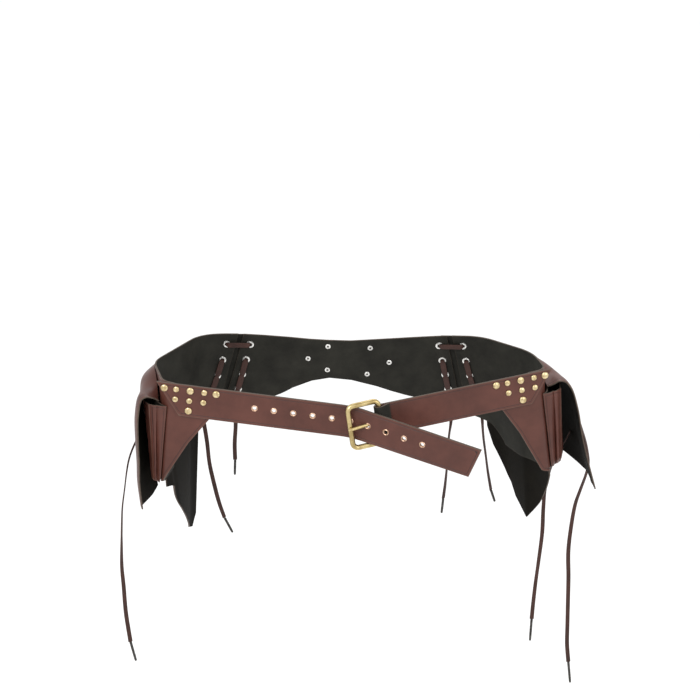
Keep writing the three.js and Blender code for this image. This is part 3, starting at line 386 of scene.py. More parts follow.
def between(rows, at, column):
    """A value from a table's column, read between its rows by the first column."""
    if at <= rows[0][0]:
        return rows[0][column]
    for low, high in zip(rows, rows[1:]):
        if at <= high[0]:
            share = (at - low[0]) / (high[0] - low[0])
            return low[column] + (high[column] - low[column]) * share
    return rows[-1][column]


def corner_point(across, back, sink):
    return Vector((across * HALF_WIDTH, back * HALF_DEPTH, -sink * FRONT_SINK))


# %% A course
BEND_STEPS = 24


class Course:
    """A line of straight runs and rounded corners: (point, round, lean, lean after) for each."""

    def __init__(self, corners):
        self.line = []
        self.leans = [(0.0, corners[0][2])]
        self.marks = [0.0]
        start = corners[0][0]
        length = 0.0
        for before, (point, size, lean, lean_after), after in zip(corners, corners[1:], corners[2:]):
            enter = point.lerp(before[0], size / (point - before[0]).length)
            leave = point.lerp(after[0], size / (point - after[0]).length)
            length = self.straight(start, enter, length)
            self.leans.append((length, lean))
            bend_start = length
            last = enter
            for k in range(1, BEND_STEPS + 1):
                t = k / BEND_STEPS
                here = enter.lerp(point, t).lerp(point.lerp(leave, t), t)
                length += (here - last).length
                toward = point.lerp(leave, t) - enter.lerp(point, t)
                self.line.append((length, here, toward.normalized()))
                last = here
            self.leans.append((length, lean_after))
            self.marks.append((bend_start + length) / 2)
            start = leave
        length = self.straight(start, corners[-1][0], length)
        self.leans.append((length, corners[-1][2]))
        self.marks.append(length)
        self.length = length

    def straight(self, start, end, length):
        toward = (end - start).normalized()
        self.line.append((length, start, toward))
        length += (end - start).length
        self.line.append((length, end, toward))
        return length

    def at(self, s):
        """The point, and the directions along, out of the wall and down it."""
        inside = min(max(s, 0.0), self.length)
        low = self.line[0]
        for high in self.line[1:]:
            if high[0] >= inside:
                break
            low = high
        span = high[0] - low[0]
        share = (inside - low[0]) / span if span > 1e-9 else 1.0
        point = low[1].lerp(high[1], share)
        along = low[2].lerp(high[2], share).normalized()
        point = point + along * (s - inside)
        level = Vector((-along.y, along.x, 0.0)).normalized()
        upright = level.cross(along).normalized()
        if upright.z > 0:
            upright.negate()
        lean = math.radians(between(self.leans, s, 1))
        down = upright * math.cos(lean) + level * math.sin(lean)
        out = level * math.cos(lean) - upright * math.sin(lean)
        return point, along, out, down

    def place(self, s, h, d):
        point, _, out, down = self.at(s)
        return point + down * h + out * d


hinge_end = corner_point(*RING[-1][1:4])
far_end = hinge_end - Vector((math.cos(BUCKLE_TURN), math.sin(BUCKLE_TURN), 0.0)) * BUCKLE_LENGTH
ring_corners = [(corner_point(*row[1:4]), *row[4:]) for row in RING]
ring_corners[0] = (far_end, *ring_corners[0][1:])
ring = Course(ring_corners)
MARK = {row[0]: s for row, s in zip(RING, ring.marks)}
print("the ring is", round(ring.length), "mm round")

# %% Straps' courses
ON_PANEL = PANEL_WALL + CLEARANCE
left_flat = MARK["left corner"] - STRAP_FLAT
right_flat = MARK["right corner"] + STRAP_FLAT
past_corner = STRAP_FLAT + STRAP_OVERHANG
long_corner = ring.place(left_flat, 0, ON_PANEL) + ring.at(left_flat)[1] * past_corner
short_corner = ring.place(right_flat, 0, ON_PANEL) - ring.at(right_flat)[1] * past_corner
long_strap = Course([
    (corner_point(*STRAP_TIP[:3]), 0, STRAP_TIP[3], STRAP_TIP[3]),
    (ring.place(0, 0, ON_PANEL), STRAP_BEND, RING[0][5], RING[0][6]),
    (long_corner, 0, RING[1][5], RING[1][6]),
])
short_strap = Course([
    (short_corner, 0, RING[-2][5], RING[-2][6]),
    (ring.place(ring.length, 0, ON_PANEL), 0, RING[-1][5], RING[-1][6]),
])

# %% Lacings and sides
LACE_THICK = 1.2
LACE_DIAMETER = 4.0
LACE_PITCH = 24.0
LACE_ROWS = 5
LACE_FIRST_ROW = 16.0
LACE_SPREAD = 31.0
LACE_GAP = 7.0
TONGUE_WIDTH = 23.0
LACINGS = [
    {"side": "left", "s": MARK["left back bend"] + 50.0, "lean": -0.27},
    {"side": "right", "s": MARK["right back bend"] - 40.0, "lean": 0.185},
]
TONGUE_DEPTH = PANEL_WALL + LAYER_GAP
LACE_INSIDE = -LAYER_GAP - LACE_THICK
LACE_OUTSIDE = TONGUE_DEPTH + TONGUE_WALL + LAYER_GAP


def lace_hole(lacing, column, row):
    h = LACE_FIRST_ROW + row * LACE_PITCH
    return lacing["s"] + lacing["lean"] * h + column * LACE_SPREAD / 2, h


SIDES = [
    {"side": "left", "turn": 1, "corner": MARK["left corner"], "lacing": LACINGS[0]},
    {"side": "right", "turn": -1, "corner": MARK["right corner"], "lacing": LACINGS[1]},
]
for side in SIDES:
    side["length"] = abs(side["lacing"]["s"] - side["corner"])

# %% [markdown]
# A free lace end is a flat thong about 6 mm wide. It comes out of an eyelet, turns on itself
# as it falls and ends in a metal tip. The line is a smooth curve through a few points, and
# the thong is a flat tube round it. These come first, and each one's length is printed.

# %% Smooth line through points


def smooth_point(points, t):
    """A centripetal curve through the points, at t from 0 to 1."""
    place = (len(points) - 1) * t
    index = min(int(place), len(points) - 2)
    share = place - index
    p1, p2 = points[index], points[index + 1]
    p0 = points[index - 1] if index > 0 else p1 * 2 - p2
    p3 = points[index + 2] if index + 2 < len(points) else p2 * 2 - p1
    d1 = max((p2 - p1).length, 1e-4) ** 0.5
    d0 = (p1 - p0).length ** 0.5 or d1
    d2 = (p3 - p2).length ** 0.5 or d1
    t1 = ((p1 - p0) / d0 - (p2 - p0) / (d0 + d1) + (p2 - p1) / d1) * d1
    t2 = ((p2 - p1) / d1 - (p3 - p1) / (d1 + d2) + (p3 - p2) / d2) * d1
    curve = p1 + t1 * share + (p2 * 3 - p1 * 3 - t1 * 2 - t2) * share ** 2
    return curve + (p1 * 2 - p2 * 2 + t1 + t2) * share ** 3


def even_line(points, step):
    """Points at an even step along the smooth curve."""
    fine = [smooth_point(points, k / 400) for k in range(401)]
    lengths = [0.0]
    for a, b in zip(fine, fine[1:]):
        lengths.append(lengths[-1] + (b - a).length)
    count = max(2, round(lengths[-1] / step))
    rows = list(zip(lengths, fine))
    line = []
    index = 0
    for k in range(count + 1):
        want = lengths[-1] * k / count
        while index < len(rows) - 2 and rows[index + 1][0] < want:
            index += 1
        (s0, a), (s1, b) = rows[index], rows[index + 1]
        line.append(a.lerp(b, (want - s0) / max(s1 - s0, 1e-9)))
    return line, lengths[-1]


# %% Finishing a mesh


def finish_piece(name, bm, materials, nodes=(), smooth_angle=40.0):
    """Turns a bmesh into a piece that rides on the belt."""
    mesh = bpy.data.meshes.new(name)
    bm.to_mesh(mesh)
    bm.free()
    for material in materials:
        mesh.materials.append(material)
    mesh.shade_smooth()
    mesh.set_sharp_from_angle(angle=math.radians(smooth_angle))
    piece = bpy.data.objects.new(name, mesh)
    bpy.context.collection.objects.link(piece)
    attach(piece, "root")
    if nodes:
        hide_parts(*nodes)
    return piece


def tube_grid(bm, line, section, frames, closed_ends=True):
    """A closed tube: a section's points carried along a line in the frames given."""
    around = len(section)
    made = bmesh.ops.create_grid(bm, x_segments=around, y_segments=len(line) - 1, size=0.5)["verts"]
    for vert in made:
        i = round((vert.co.x + 0.5) * around) % around
        j = round((vert.co.y + 0.5) * (len(line) - 1))
        across, up = frames[j]
        vert.co = (line[j] + across * section[i][0] + up * section[i][1]) * MM
    bmesh.ops.remove_doubles(bm, verts=made, dist=1e-7)
    live = [v for v in made if v.is_valid]
    if closed_ends:
        rims = [e for e in {e for v in live for e in v.link_edges} if e.is_boundary]
        bmesh.ops.holes_fill(bm, edges=rims, sides=0)
    return live


FLAT_SECTION = [(-1.0, 0.0), (-0.92, 0.75), (-0.6, 1.0), (0.6, 1.0), (0.92, 0.75),
                (1.0, 0.0), (0.92, -0.75), (0.6, -1.0), (-0.6, -1.0), (-0.92, -0.75)]


def thong_section(width, thick):
    return [(x * width / 2, y * thick / 2) for x, y in FLAT_SECTION]


# %% Free lace ends
THONG_WIDTH = 5.8
THONG_THICK = 1.5
THONG_STEP = 4.0
LACE_ENDS = [
    {"name": "left_pouch", "start": (-263.2, -15, -85), "tip": (-287, -15, -421),
     "twist": (60, 90, 80, 30, 20),
     "way": [(-269, -15, -97), (-276, -15, -111), (-282, -15, -127), (-286, -15, -145),
             (-290, -15, -170), (-294, -15, -195), (-296, -15, -220), (-298, -15, -254),
             (-299, -15, -280), (-298, -15, -310), (-297, -15, -348), (-293, -15, -392)]},
    {"name": "left_lacing_outer", "hole": (0, -1), "tip": (-164, 118, -296),
     "twist": (0, 10, 30, 10, 40),
     "way": [(-204, 139, -122), (-201, 138, -140), (-197, 132, -165), (-194, 126, -194),
             (-189, 124, -221), (-182, 122, -252), (-175, 120, -274)]},
    {"name": "left_lacing_inner", "hole": (0, 1), "tip": (-161, 145, -220), "twist": (0, 20, 0),
     "way": [(-158, 147, -128), (-158, 145, -146), (-160, 145, -173), (-160, 145, -197)]},
    {"name": "right_lacing_inner", "hole": (1, -1), "tip": (129, 143, -278),
     "twist": (0, 60, 65, 40),
     "way": [(140, 146, -128), (139, 143, -143), (137, 143, -161), (135, 143, -208),
             (133, 143, -236), (131, 143, -255)]},
    {"name": "right_lacing_outer", "hole": (1, 1), "tip": (203, 138, -258),
     "twist": (0, 60, 65, 50),
     "way": [(182, 144, -130), (184, 140, -158), (188, 138, -186), (192, 138, -213),
             (197, 138, -240)]},
    {"name": "right_pouch_inner", "start": (288.3, 42, -112), "tip": (249, 50, -428),
     "twist": (80, 40, 10, 30, 0),
     "way": [(284, 44, -124), (278, 47, -138), (271, 49, -154), (265, 50, -172),
             (260, 50, -199), (259, 50, -227), (259, 50, -263), (256, 50, -304),
             (253, 50, -340), (251, 50, -372), (250, 50, -394)]},
    {"name": "right_pouch_outer", "start": (294.9, 25, -85), "tip": (304, 28, -481),
     "twist": (80, 50, 20, 0, 10, 0),
     "way": [(301, 26, -103), (307, 28, -122), (311, 30, -140), (312.5, 30, -153),
             (310, 29, -168), (304, 28, -188), (298, 28, -210), (294, 28, -243),
             (292, 28, -280), (294, 28, -318), (295, 28, -352), (296, 28, -389),
             (297, 28, -421), (300, 28, -448)]},
]
AGLET_DIAMETER = 3.6
cord_out = LACE_OUTSIDE + (LACE_THICK + CLEARANCE + LACE_DIAMETER) / 2


def lace_start(end):
    if "start" in end:
        return Vector(end["start"])
    lacing, column = end["hole"]
    s, h = lace_hole(LACINGS[lacing], column, LACE_ROWS - 1)
    return ring.place(s, h, cord_out)


def thong_frames(line, twist):
    """Across and up directions along a hanging thong, turned by the angles of a short list."""
    frames = []
    for k, point in enumerate(line):
        before = line[max(k - 1, 0)]
        after = line[min(k + 1, len(line) - 1)]
        toward = (after - before).normalized()
        share = k / (len(line) - 1) * (len(twist) - 1)
        index = min(int(share), len(twist) - 2)
        angle = math.radians(twist[index] + (twist[index + 1] - twist[index]) * (share - index))
        across = Vector((math.cos(angle), math.sin(angle), 0.0))
        across = (across - toward * across.dot(toward)).normalized()
        frames.append((across, toward.cross(across)))
    return frames


def make_aglet(end, root, tip):
    """A rolled metal tip: a round tube that narrows at its end."""
    axis = (tip - root)
    length = axis.length
    line = [root + axis * (x / length) for x in (0.6, 1.0, length * 0.8, length - 0.8, length)]
    radii = [0.80, 1.0, 0.96, 0.86, 0.45]
    bm = bmesh.new()
    side = axis.normalized().orthogonal().normalized()
    up = axis.normalized().cross(side)
    section = [(math.cos(a), math.sin(a)) for a in [2 * math.pi * k / 16 for k in range(16)]]
    frames = [(side * AGLET_DIAMETER / 2 * r, up * AGLET_DIAMETER / 2 * r) for r in radii]
    tube_grid(bm, line, section, frames)
    bmesh.ops.recalc_face_normals(bm, faces=bm.faces)
    return finish_piece("tip_" + end["name"], bm, [aglet_metal], ["aglet_" + end["name"]])


for end in LACE_ENDS:
    way = [lace_start(end)] + [Vector(point) for point in end["way"]]
    line, length = even_line(way, THONG_STEP)
    bm = bmesh.new()
    tube_grid(bm, line, thong_section(THONG_WIDTH, THONG_THICK), thong_frames(line, end["twist"]))
    bmesh.ops.recalc_face_normals(bm, faces=bm.faces)
    thong = finish_piece("thong_" + end["name"], bm, [lace_hide], ["lace_" + end["name"]])
    aglet = make_aglet(end, way[-1], Vector(end["tip"]))
    print(end["name"], "hangs", round(length), "mm")

# %% [markdown]
# A piece of hide: a grid whose columns run round the belt and whose rows run down it. Its
# points hold how far they are from the cut edge, which the materials read for the creased
# border. Solidify gives the wall, with the flesh side and the cut edge in materials of their
# own, and a small bevel takes the sharpness off the edge.

# %% Sheets of hide
CELL = 4.0
RIM_REACH = 12.0


def stations(rows, length, step):
    """The shares of a table's first column, with more between them."""
    found = [rows[0][0]]
    for low, high in zip(rows, rows[1:]):
        count = max(1, math.ceil((high[0] - low[0]) * length / step))
        found += [low[0] + (high[0] - low[0]) * k / count for k in range(1, count + 1)]
    return found


def shares(count, edge, total):
    """Row places from 0 to 1 with one close to each end, so that a border line stays crisp."""
    near = min(0.25, edge / total)
    return [0.0, near] + [near + (1 - 2 * near) * k / count for k in range(1, count)] + [1 - near, 1.0]


def hide_grid(columns, rows, place):
    """A bmesh grid placed by place(i, j), which gives the point in mm and its flat place."""
    bm = bmesh.new()
    bmesh.ops.create_grid(bm, x_segments=columns, y_segments=rows, size=0.5)
    rim = bm.verts.layers.float.new("rim")
    uv = bm.loops.layers.uv.new("flat")
    flat = {}
    for vert in bm.verts:
        i = round((vert.co.x + 0.5) * columns)
        j = round((0.5 - vert.co.y) * rows)
        point, where, distance = place(i, j)
        vert.co = point * MM
        vert[rim] = distance * MM
        flat[vert] = where
    for face in bm.faces:
        for loop in face.loops:
            loop[uv].uv = [x * MM for x in flat[loop.vert]]
    return bm


def settle(piece):
    """Applies the piece's modifiers, so that its mesh is final."""
    graph = bpy.context.evaluated_depsgraph_get()
    mesh = bpy.data.meshes.new_from_object(piece.evaluated_get(graph))
    piece.modifiers.clear()
    piece.data = mesh
    mesh.set_sharp_from_angle(angle=math.radians(38.0))
    return piece


def give_wall(piece, wall, bevel=0.35, cutter=None):
    solid = piece.modifiers.new("wall", "SOLIDIFY")
    solid.thickness = wall * MM
    solid.offset = -1.0
    solid.material_offset = 1
    solid.material_offset_rim = 2
    if cutter:
        holes = piece.modifiers.new("holes", "BOOLEAN")
        holes.object = cutter
        holes.operation = "DIFFERENCE"
        holes.solver = "EXACT"
    if bevel:
        soft = piece.modifiers.new("soft edge", "BEVEL")
        soft.width = bevel * MM
        soft.segments = 2
        soft.limit_method = "ANGLE"
        soft.angle_limit = math.radians(50.0)
    settle(piece)
    if cutter:
        bpy.data.objects.remove(cutter)
    return piece


def edge_distance(s, h, outline):
    """How far a flat place is from the outline's nearest side, in mm."""
    nearest = RIM_REACH
    for (x0, y0), (x1, y1) in zip(outline, outline[1:] + outline[:1]):
        dx, dy = x1 - x0, y1 - y0
        size = dx * dx + dy * dy
        t = 0.0 if size < 1e-9 else min(1.0, max(0.0, ((s - x0) * dx + (h - y0) * dy) / size))
        nearest = min(nearest, math.hypot(s - x0 - dx * t, h - y0 - dy * t))
    return nearest


def make_sheet(name, course, start, end, table, height, depth, wall, lean=None, nodes=(), cell=CELL,
               cutter=None, hide=HIDE):
    """A sheet laid on a course; table has rows of (share along, top, bottom)."""
    list_along = stations(table, abs(end - start), cell)
    rows = shares(max(2, round(height / cell)), 3.0, height)

    def flat(share, down):
        top = between(table, share, 1) * height
        bottom = between(table, share, 2) * height
        h = top + (bottom - top) * down
        s = start + (end - start) * share
        return s + (lean(share) * h if lean else 0.0), h

    outline = [flat(share, 0.0) for share in list_along]
    outline += [flat(share, 1.0) for share in reversed(list_along)]

    def place(i, j):
        s, h = flat(list_along[i], rows[j])
        out = depth(rows[j]) if callable(depth) else depth
        return course.place(s, h, out + wall), (s, h), edge_distance(s, h, outline)

    bm = hide_grid(len(list_along) - 1, len(rows) - 1, place)
    if end > start:
        bmesh.ops.reverse_faces(bm, faces=bm.faces)
    piece = finish_piece(name, bm, hide, nodes)
    return give_wall(piece, wall, cutter=cutter)


def smoothstep(x, low, high):
    t = min(1.0, max(0.0, (x - low) / (high - low)))
    return t * t * (3 - 2 * t)


# %% Side panels and back
PANEL_FRONT = 62.0
SIDE_OUTLINE = {
    "left": [
        (0, 0.2, 0.22), (0.09, 0.02, 0.47), (0.185, 0, 0.82), (0.28, 0, 0.88), (0.45, 0, 0.86),
        (0.65, 0, 0.82), (0.83, 0, 0.8), (1, 0, 0.81),
    ],
    "right": [
        (0, 0.2, 0.22), (0.09, 0.02, 0.47), (0.185, 0, 0.82), (0.28, 0, 0.89), (0.45, 0, 0.98),
        (0.65, 0, 1.0), (0.78, 0, 1.0), (0.83, 0, 0.94), (0.9, 0, 0.85), (1, 0, 0.81),
    ],
}
BACK_OUTLINE = [
    (0, 0, 1.0), (0.1, 0.01, 0.85), (0.23, 0.03, 0.67), (0.33, 0.05, 0.575), (0.42, 0.06, 0.535),
    (0.53, 0.065, 0.56), (0.66, 0.045, 0.64), (0.84, 0.02, 0.79), (1, 0, 1.0),
]
# The share of a sheet's length over which it leans to meet a lacing's edge
LEANING_SIDE = 0.3
LEANING_SEAM = 0.2
for side in SIDES:
    lacing = side["lacing"]
    make_sheet(
        "hide_side_" + side["side"], ring,
        side["corner"] - side["turn"] * PANEL_FRONT,
        lacing["s"] - side["turn"] * LACE_GAP / 2,
        SIDE_OUTLINE[side["side"]], PANEL_HEIGHT, 0.0, PANEL_WALL,
        lean=lambda share, lacing=lacing: lacing["lean"] * smoothstep(share, 1 - LEANING_SIDE, 1.0),
        nodes=["side_panel_" + side["side"]],
    )
back_from = LACINGS[0]["s"] + LACE_GAP / 2
back_to = LACINGS[1]["s"] - LACE_GAP / 2


def back_lean(share):
    left = LACINGS[0]["lean"] * (1 - smoothstep(share, 0, LEANING_SEAM))
    return left + LACINGS[1]["lean"] * smoothstep(share, 1 - LEANING_SEAM, 1.0)


make_sheet("hide_back", ring, back_from, back_to, BACK_OUTLINE, BACK_HEIGHT, 0.0, PANEL_WALL,
           lean=back_lean, nodes=["back_panel"])
for lacing in LACINGS:
    make_sheet(
        "tongue_" + lacing["side"], ring, lacing["s"] - TONGUE_WIDTH / 2, lacing["s"] + TONGUE_WIDTH / 2,
        [(0, 0.02, 1), (1, 0.02, 1)], BACK_HEIGHT, TONGUE_DEPTH, TONGUE_WALL,
        lean=lambda share, lacing=lacing: lacing["lean"],
        nodes=["lacing_tongue_" + lacing["side"]],
    )

# %% Rear leaves
LEAF_FRONT = 0.15
LEAF_REAR = 0.78
LEAF_SEAM = 0.7
LEAF_OUTLINE = {
    "left": [(0, 0.11, 0.54), (0.1, 0.11, 0.56), (0.36, 0.11, 0.7), (0.97, 0.11, 1.0), (1, 0.11, 0.94)],
    "right": [
        (0, 0.11, 0.5), (0.08, 0.11, 0.57), (0.32, 0.11, 0.77), (0.48, 0.11, 0.88), (0.74, 0.11, 0.83),
        (0.86, 0.11, 0.75), (0.965, 0.11, 0.6), (1, 0.11, 0.5),
    ],
}
for side in SIDES:
    make_sheet(
        "leaf_" + side["side"], ring,
        side["corner"] + side["turn"] * LEAF_FRONT * side["length"],
        side["corner"] + side["turn"] * LEAF_REAR * side["length"],
        LEAF_OUTLINE[side["side"]], LEAF_LENGTH,
        lambda down: PANEL_WALL + LAYER_GAP - LEAF_SEAM * max(0.0, 1 - 3 * down),
        # The flesh side takes the darker copy of the flesh colour, painted shade
        LEAF_WALL, nodes=["rear_leaf_" + side["side"]], hide=SHADED_HANGING_HIDE,
    )

# %% [markdown]
# The front is two straps. The long one is sewn and riveted at the left hip and has a row of
# eyelets and a cut tip; the short one comes from the right hip and folds round the buckle's
# bar. The eyelet holes go right through, so they are cut with a boolean.

# %% Where the buckle sits
BUCKLE_WIRE = 6.6
BUCKLE_HEIGHT = 60.0
BUCKLE_CORNER = 7.0
PRONG_WIRE = 4.5
PRONG_RING_WALL = 2.4
TURNED_END = 13.0
wire_seat = STRAP_WALL + CLEARANCE + BUCKLE_WIRE / 2
_, hinge_along, hinge_out, hinge_down = short_strap.at(short_strap.length)
hinge_middle = short_strap.place(short_strap.length, STRAP_WIDTH / 2, wire_seat)
far_middle = long_strap.place(long_strap.marks[1], STRAP_WIDTH / 2, wire_seat + 2 * LAYER_GAP)
bar_axis = hinge_down.copy()
to_far = far_middle - hinge_middle
to_far = to_far - bar_axis * to_far.dot(bar_axis)
buckle_span = to_far.length
to_far.normalize()
buckle_face = bar_axis.cross(to_far).normalized()
if buckle_face.dot(hinge_out) < 0:
    buckle_face.negate()
print("the buckle spans", round(buckle_span, 1), "mm")

# %% Holes of the long strap
STRAP_HOLE = 5.5
STRAP_HOLE_PITCH = 23.7
STRAP_HOLES = 10
STRAP_HOLE_LEVEL = 18.5
PRONG_HOLE = 7
pin_inner = BUCKLE_WIRE / 2 + CLEARANCE
pin_outer = pin_inner + PRONG_RING_WALL
pin_seat = BUCKLE_WIRE / 2 + 2 * CLEARANCE + PRONG_WIRE / 2
pin_reach = buckle_span + BUCKLE_WIRE / 2 + 1
pin_start = hinge_middle + to_far * (pin_inner + pin_outer) / 2
pin_end = hinge_middle + to_far * pin_reach + buckle_face * (pin_seat * pin_reach / buckle_span)
pin_slope = (pin_end - pin_start).normalized()


def above_the_pin(s):
    point = long_strap.place(s, STRAP_WIDTH / 2, STRAP_WALL / 2) - pin_start
    return (point - pin_slope * point.dot(pin_slope)).dot(buckle_face)


HALVINGS = 30
near_hole = long_strap.marks[1]
far_hole = long_strap.marks[1] - BUCKLE_LENGTH
for _ in range(HALVINGS):
    middle = (near_hole + far_hole) / 2
    if above_the_pin(middle) < 0:
        near_hole = middle
    else:
        far_hole = middle
strap_holes = [
    near_hole + (PRONG_HOLE - number) * STRAP_HOLE_PITCH for number in range(1, STRAP_HOLES + 1)
]

# %% Cutters and turned shapes
DRILL_PAST_WALL = 2.0


def basis_at(course, s, h, d):
    """A matrix with its origin on a course and its Z out of the wall."""
    _, along, out, down = course.at(s)
    side = down.cross(out)
    turn = Matrix((side, down, out)).transposed().to_4x4()
    return Matrix.Translation(course.place(s, h, d) * MM) @ turn


def new_cutter(bm):
    mesh = bpy.data.meshes.new("cutter")
    bm.to_mesh(mesh)
    bm.free()
    cutter = bpy.data.objects.new("cutter", mesh)
    bpy.context.collection.objects.link(cutter)
    return cutter


def add_drill(bm, course, s, h, diameter, wall):
    """A cylinder through the wall, into a cutter's bmesh."""
    bmesh.ops.create_cone(
        bm, cap_ends=True, segments=24, radius1=diameter / 2 * MM, radius2=diameter / 2 * MM,
        depth=(wall + 2 * DRILL_PAST_WALL) * MM, matrix=basis_at(course, s, h, wall / 2),
    )


def add_turned(bm, profile, matrix, steps=24):
    """Spins a profile of (radius, height) in mm round the matrix's Z."""
    inside = [v for v in bm.verts]
    verts = [bm.verts.new((r * MM, 0.0, y * MM)) for r, y in profile]
    edges = [bm.edges.new(pair) for pair in zip(verts, verts[1:])]
    bmesh.ops.spin(bm, geom=verts + edges, cent=(0, 0, 0), axis=(0, 0, 1), angle=2 * math.pi,
                   steps=steps, use_merge=True)
    old = set(inside)
    fresh = [v for v in bm.verts if v not in old]
    bmesh.ops.remove_doubles(bm, verts=fresh, dist=1e-6)
    fresh = [v for v in bm.verts if v not in old]
    faces = list({f for v in fresh for f in v.link_faces})
    bmesh.ops.recalc_face_normals(bm, faces=faces)
    bmesh.ops.transform(bm, matrix=matrix, verts=fresh)
    return fresh


# %% Long strap
STRAP_STEP = 3.5
LEANING_TIP = 0.12
LEANING_TURN = 0.4
tip_lean = TIP_POINT / STRAP_WIDTH
end_lean = STRAP_POINT / STRAP_WIDTH


def long_lean(share):
    at_the_tip = tip_lean * (1 - smoothstep(share, 0, LEANING_TIP))
    return at_the_tip - end_lean * smoothstep(share, 1 - LEANING_SEAM, 1)


def short_lean(share):
    return end_lean * (1 - smoothstep(share, 0, LEANING_TURN))


drills = bmesh.new()
for s in strap_holes:
    add_drill(drills, long_strap, s, STRAP_HOLE_LEVEL, STRAP_HOLE, STRAP_WALL)
full_width = [(share, 0, 1) for share in (0, LEANING_TIP, 1 - LEANING_SEAM, 1)]
make_sheet(
    "strap_long", long_strap, 0.0, long_strap.length, full_width,
    STRAP_WIDTH, 0.0, STRAP_WALL, lean=long_lean, nodes=["long_strap"], cell=STRAP_STEP,
    cutter=new_cutter(drills),
)

# %% Short strap with its turned end
HOOK_STEPS = 14
TAIL_STEPS = 5
turn_along = hinge_out.cross(hinge_down).normalized()
if turn_along.dot(hinge_along) < 0:
    turn_along.negate()


def hook_point(step):
    """The grain face beyond the strap's end: round the bar, then back over the strap."""
    inner = BUCKLE_WIRE / 2 + CLEARANCE
    centre = STRAP_WALL + inner
    if step <= HOOK_STEPS:
        angle = math.pi * step / HOOK_STEPS
        return turn_along * (inner * math.sin(angle)) + hinge_out * (centre - inner * math.cos(angle))
    share = (step - HOOK_STEPS) / TAIL_STEPS
    fall = smoothstep(share, 0, 1) * (centre + inner - STRAP_WALL - CLEARANCE)
    return turn_along * (-TURNED_END * share) + hinge_out * (centre + inner - fall)


def make_short_strap():
    table = [(0, 0, 1), (0.4, 0, 1), (1, 0, 1)]
    list_along = stations(table, short_strap.length, STRAP_STEP)
    rows = shares(round(STRAP_WIDTH / STRAP_STEP), 3.0, STRAP_WIDTH)
    straight = len(list_along) - 1
    end = short_strap.at(short_strap.length)
    hook_length = math.pi * (BUCKLE_WIRE / 2 + CLEARANCE) + TURNED_END

    def flat(i, down):
        h = down * STRAP_WIDTH
        if i <= straight:
            share = list_along[i]
            return share * short_strap.length + short_lean(share) * h, h
        return short_strap.length + (i - straight) / (HOOK_STEPS + TAIL_STEPS) * hook_length, h

    columns = straight + HOOK_STEPS + TAIL_STEPS
    outline = [flat(i, 0.0) for i in range(columns + 1)] + [flat(i, 1.0) for i in range(columns, -1, -1)]

    def place(i, j):
        s, h = flat(i, rows[j])
        if i <= straight:
            point = short_strap.place(s, h, STRAP_WALL)
        else:
            point = end[0] + end[3] * h + hook_point(i - straight)
        return point, (s, h), edge_distance(s, h, outline)

    bm = hide_grid(columns, len(rows) - 1, place)
    bmesh.ops.reverse_faces(bm, faces=bm.faces)
    piece = finish_piece("strap_short", bm, HIDE, ["short_strap"])
    slot = bmesh.new()
    turn = Matrix((turn_along, hinge_out, bar_axis)).transposed().to_4x4()
    bmesh.ops.create_cube(slot, size=1.0)
    reach = 2 * (pin_inner + STRAP_WALL)
    bmesh.ops.scale(slot, vec=Vector((2 * reach, 1.5 * reach, PRONG_WIRE + 2)) * MM, verts=slot.verts)
    bmesh.ops.transform(slot, matrix=Matrix.Translation(hinge_middle * MM) @ turn, verts=slot.verts)
    return give_wall(piece, STRAP_WALL, cutter=new_cutter(slot))


make_short_strap()

# %% [markdown]
# Each flap is one piece of hide, rooted on the belt's side. It goes out over the pouch's
# mouth in a round shoulder and hangs in front of it, longer at its front than at its rear.

# %% Pouch flaps
FLAP_LENGTH = 110.0
FLAP_FROM_CORNER = 6.0
FLAP_DROP = 174.0
FLAP_TURN = 0.55
FLAP_COLUMNS = 30
FLAP_ROWS = 48
FLAP_OUTLINE = [(0, 0, 0.98), (0.3, 0, 0.95), (0.5, 0, 0.9), (0.68, 0, 0.84), (1, 0, 0.7)]
# How far out and down a flap runs, in mm, at its front and at its rear
FLAP_RUN = {
    "left": {
        "front": [
            (0, 26), (8, 21), (19, 18), (27, 22), (32, 46), (32, 78), (30.5, 111), (30, 138), (26, 174),
        ],
        "rear": [
            (0, 2), (10, 9), (19, 17), (23, 29), (25, 52), (25, 82), (25, 111), (25, 140), (24, 174),
        ],
    },
    "right": {
        "front": [
            (0, 25), (7, 22.5), (16, 18), (25, 19.5), (34, 31), (41, 58), (46, 96), (52, 130), (61, 174),
        ],
        "rear": [
            (0, 2), (11, 10), (23, 22), (32, 38), (38, 58), (41, 82), (43, 111), (44, 140), (45, 174),
        ],
    },
}


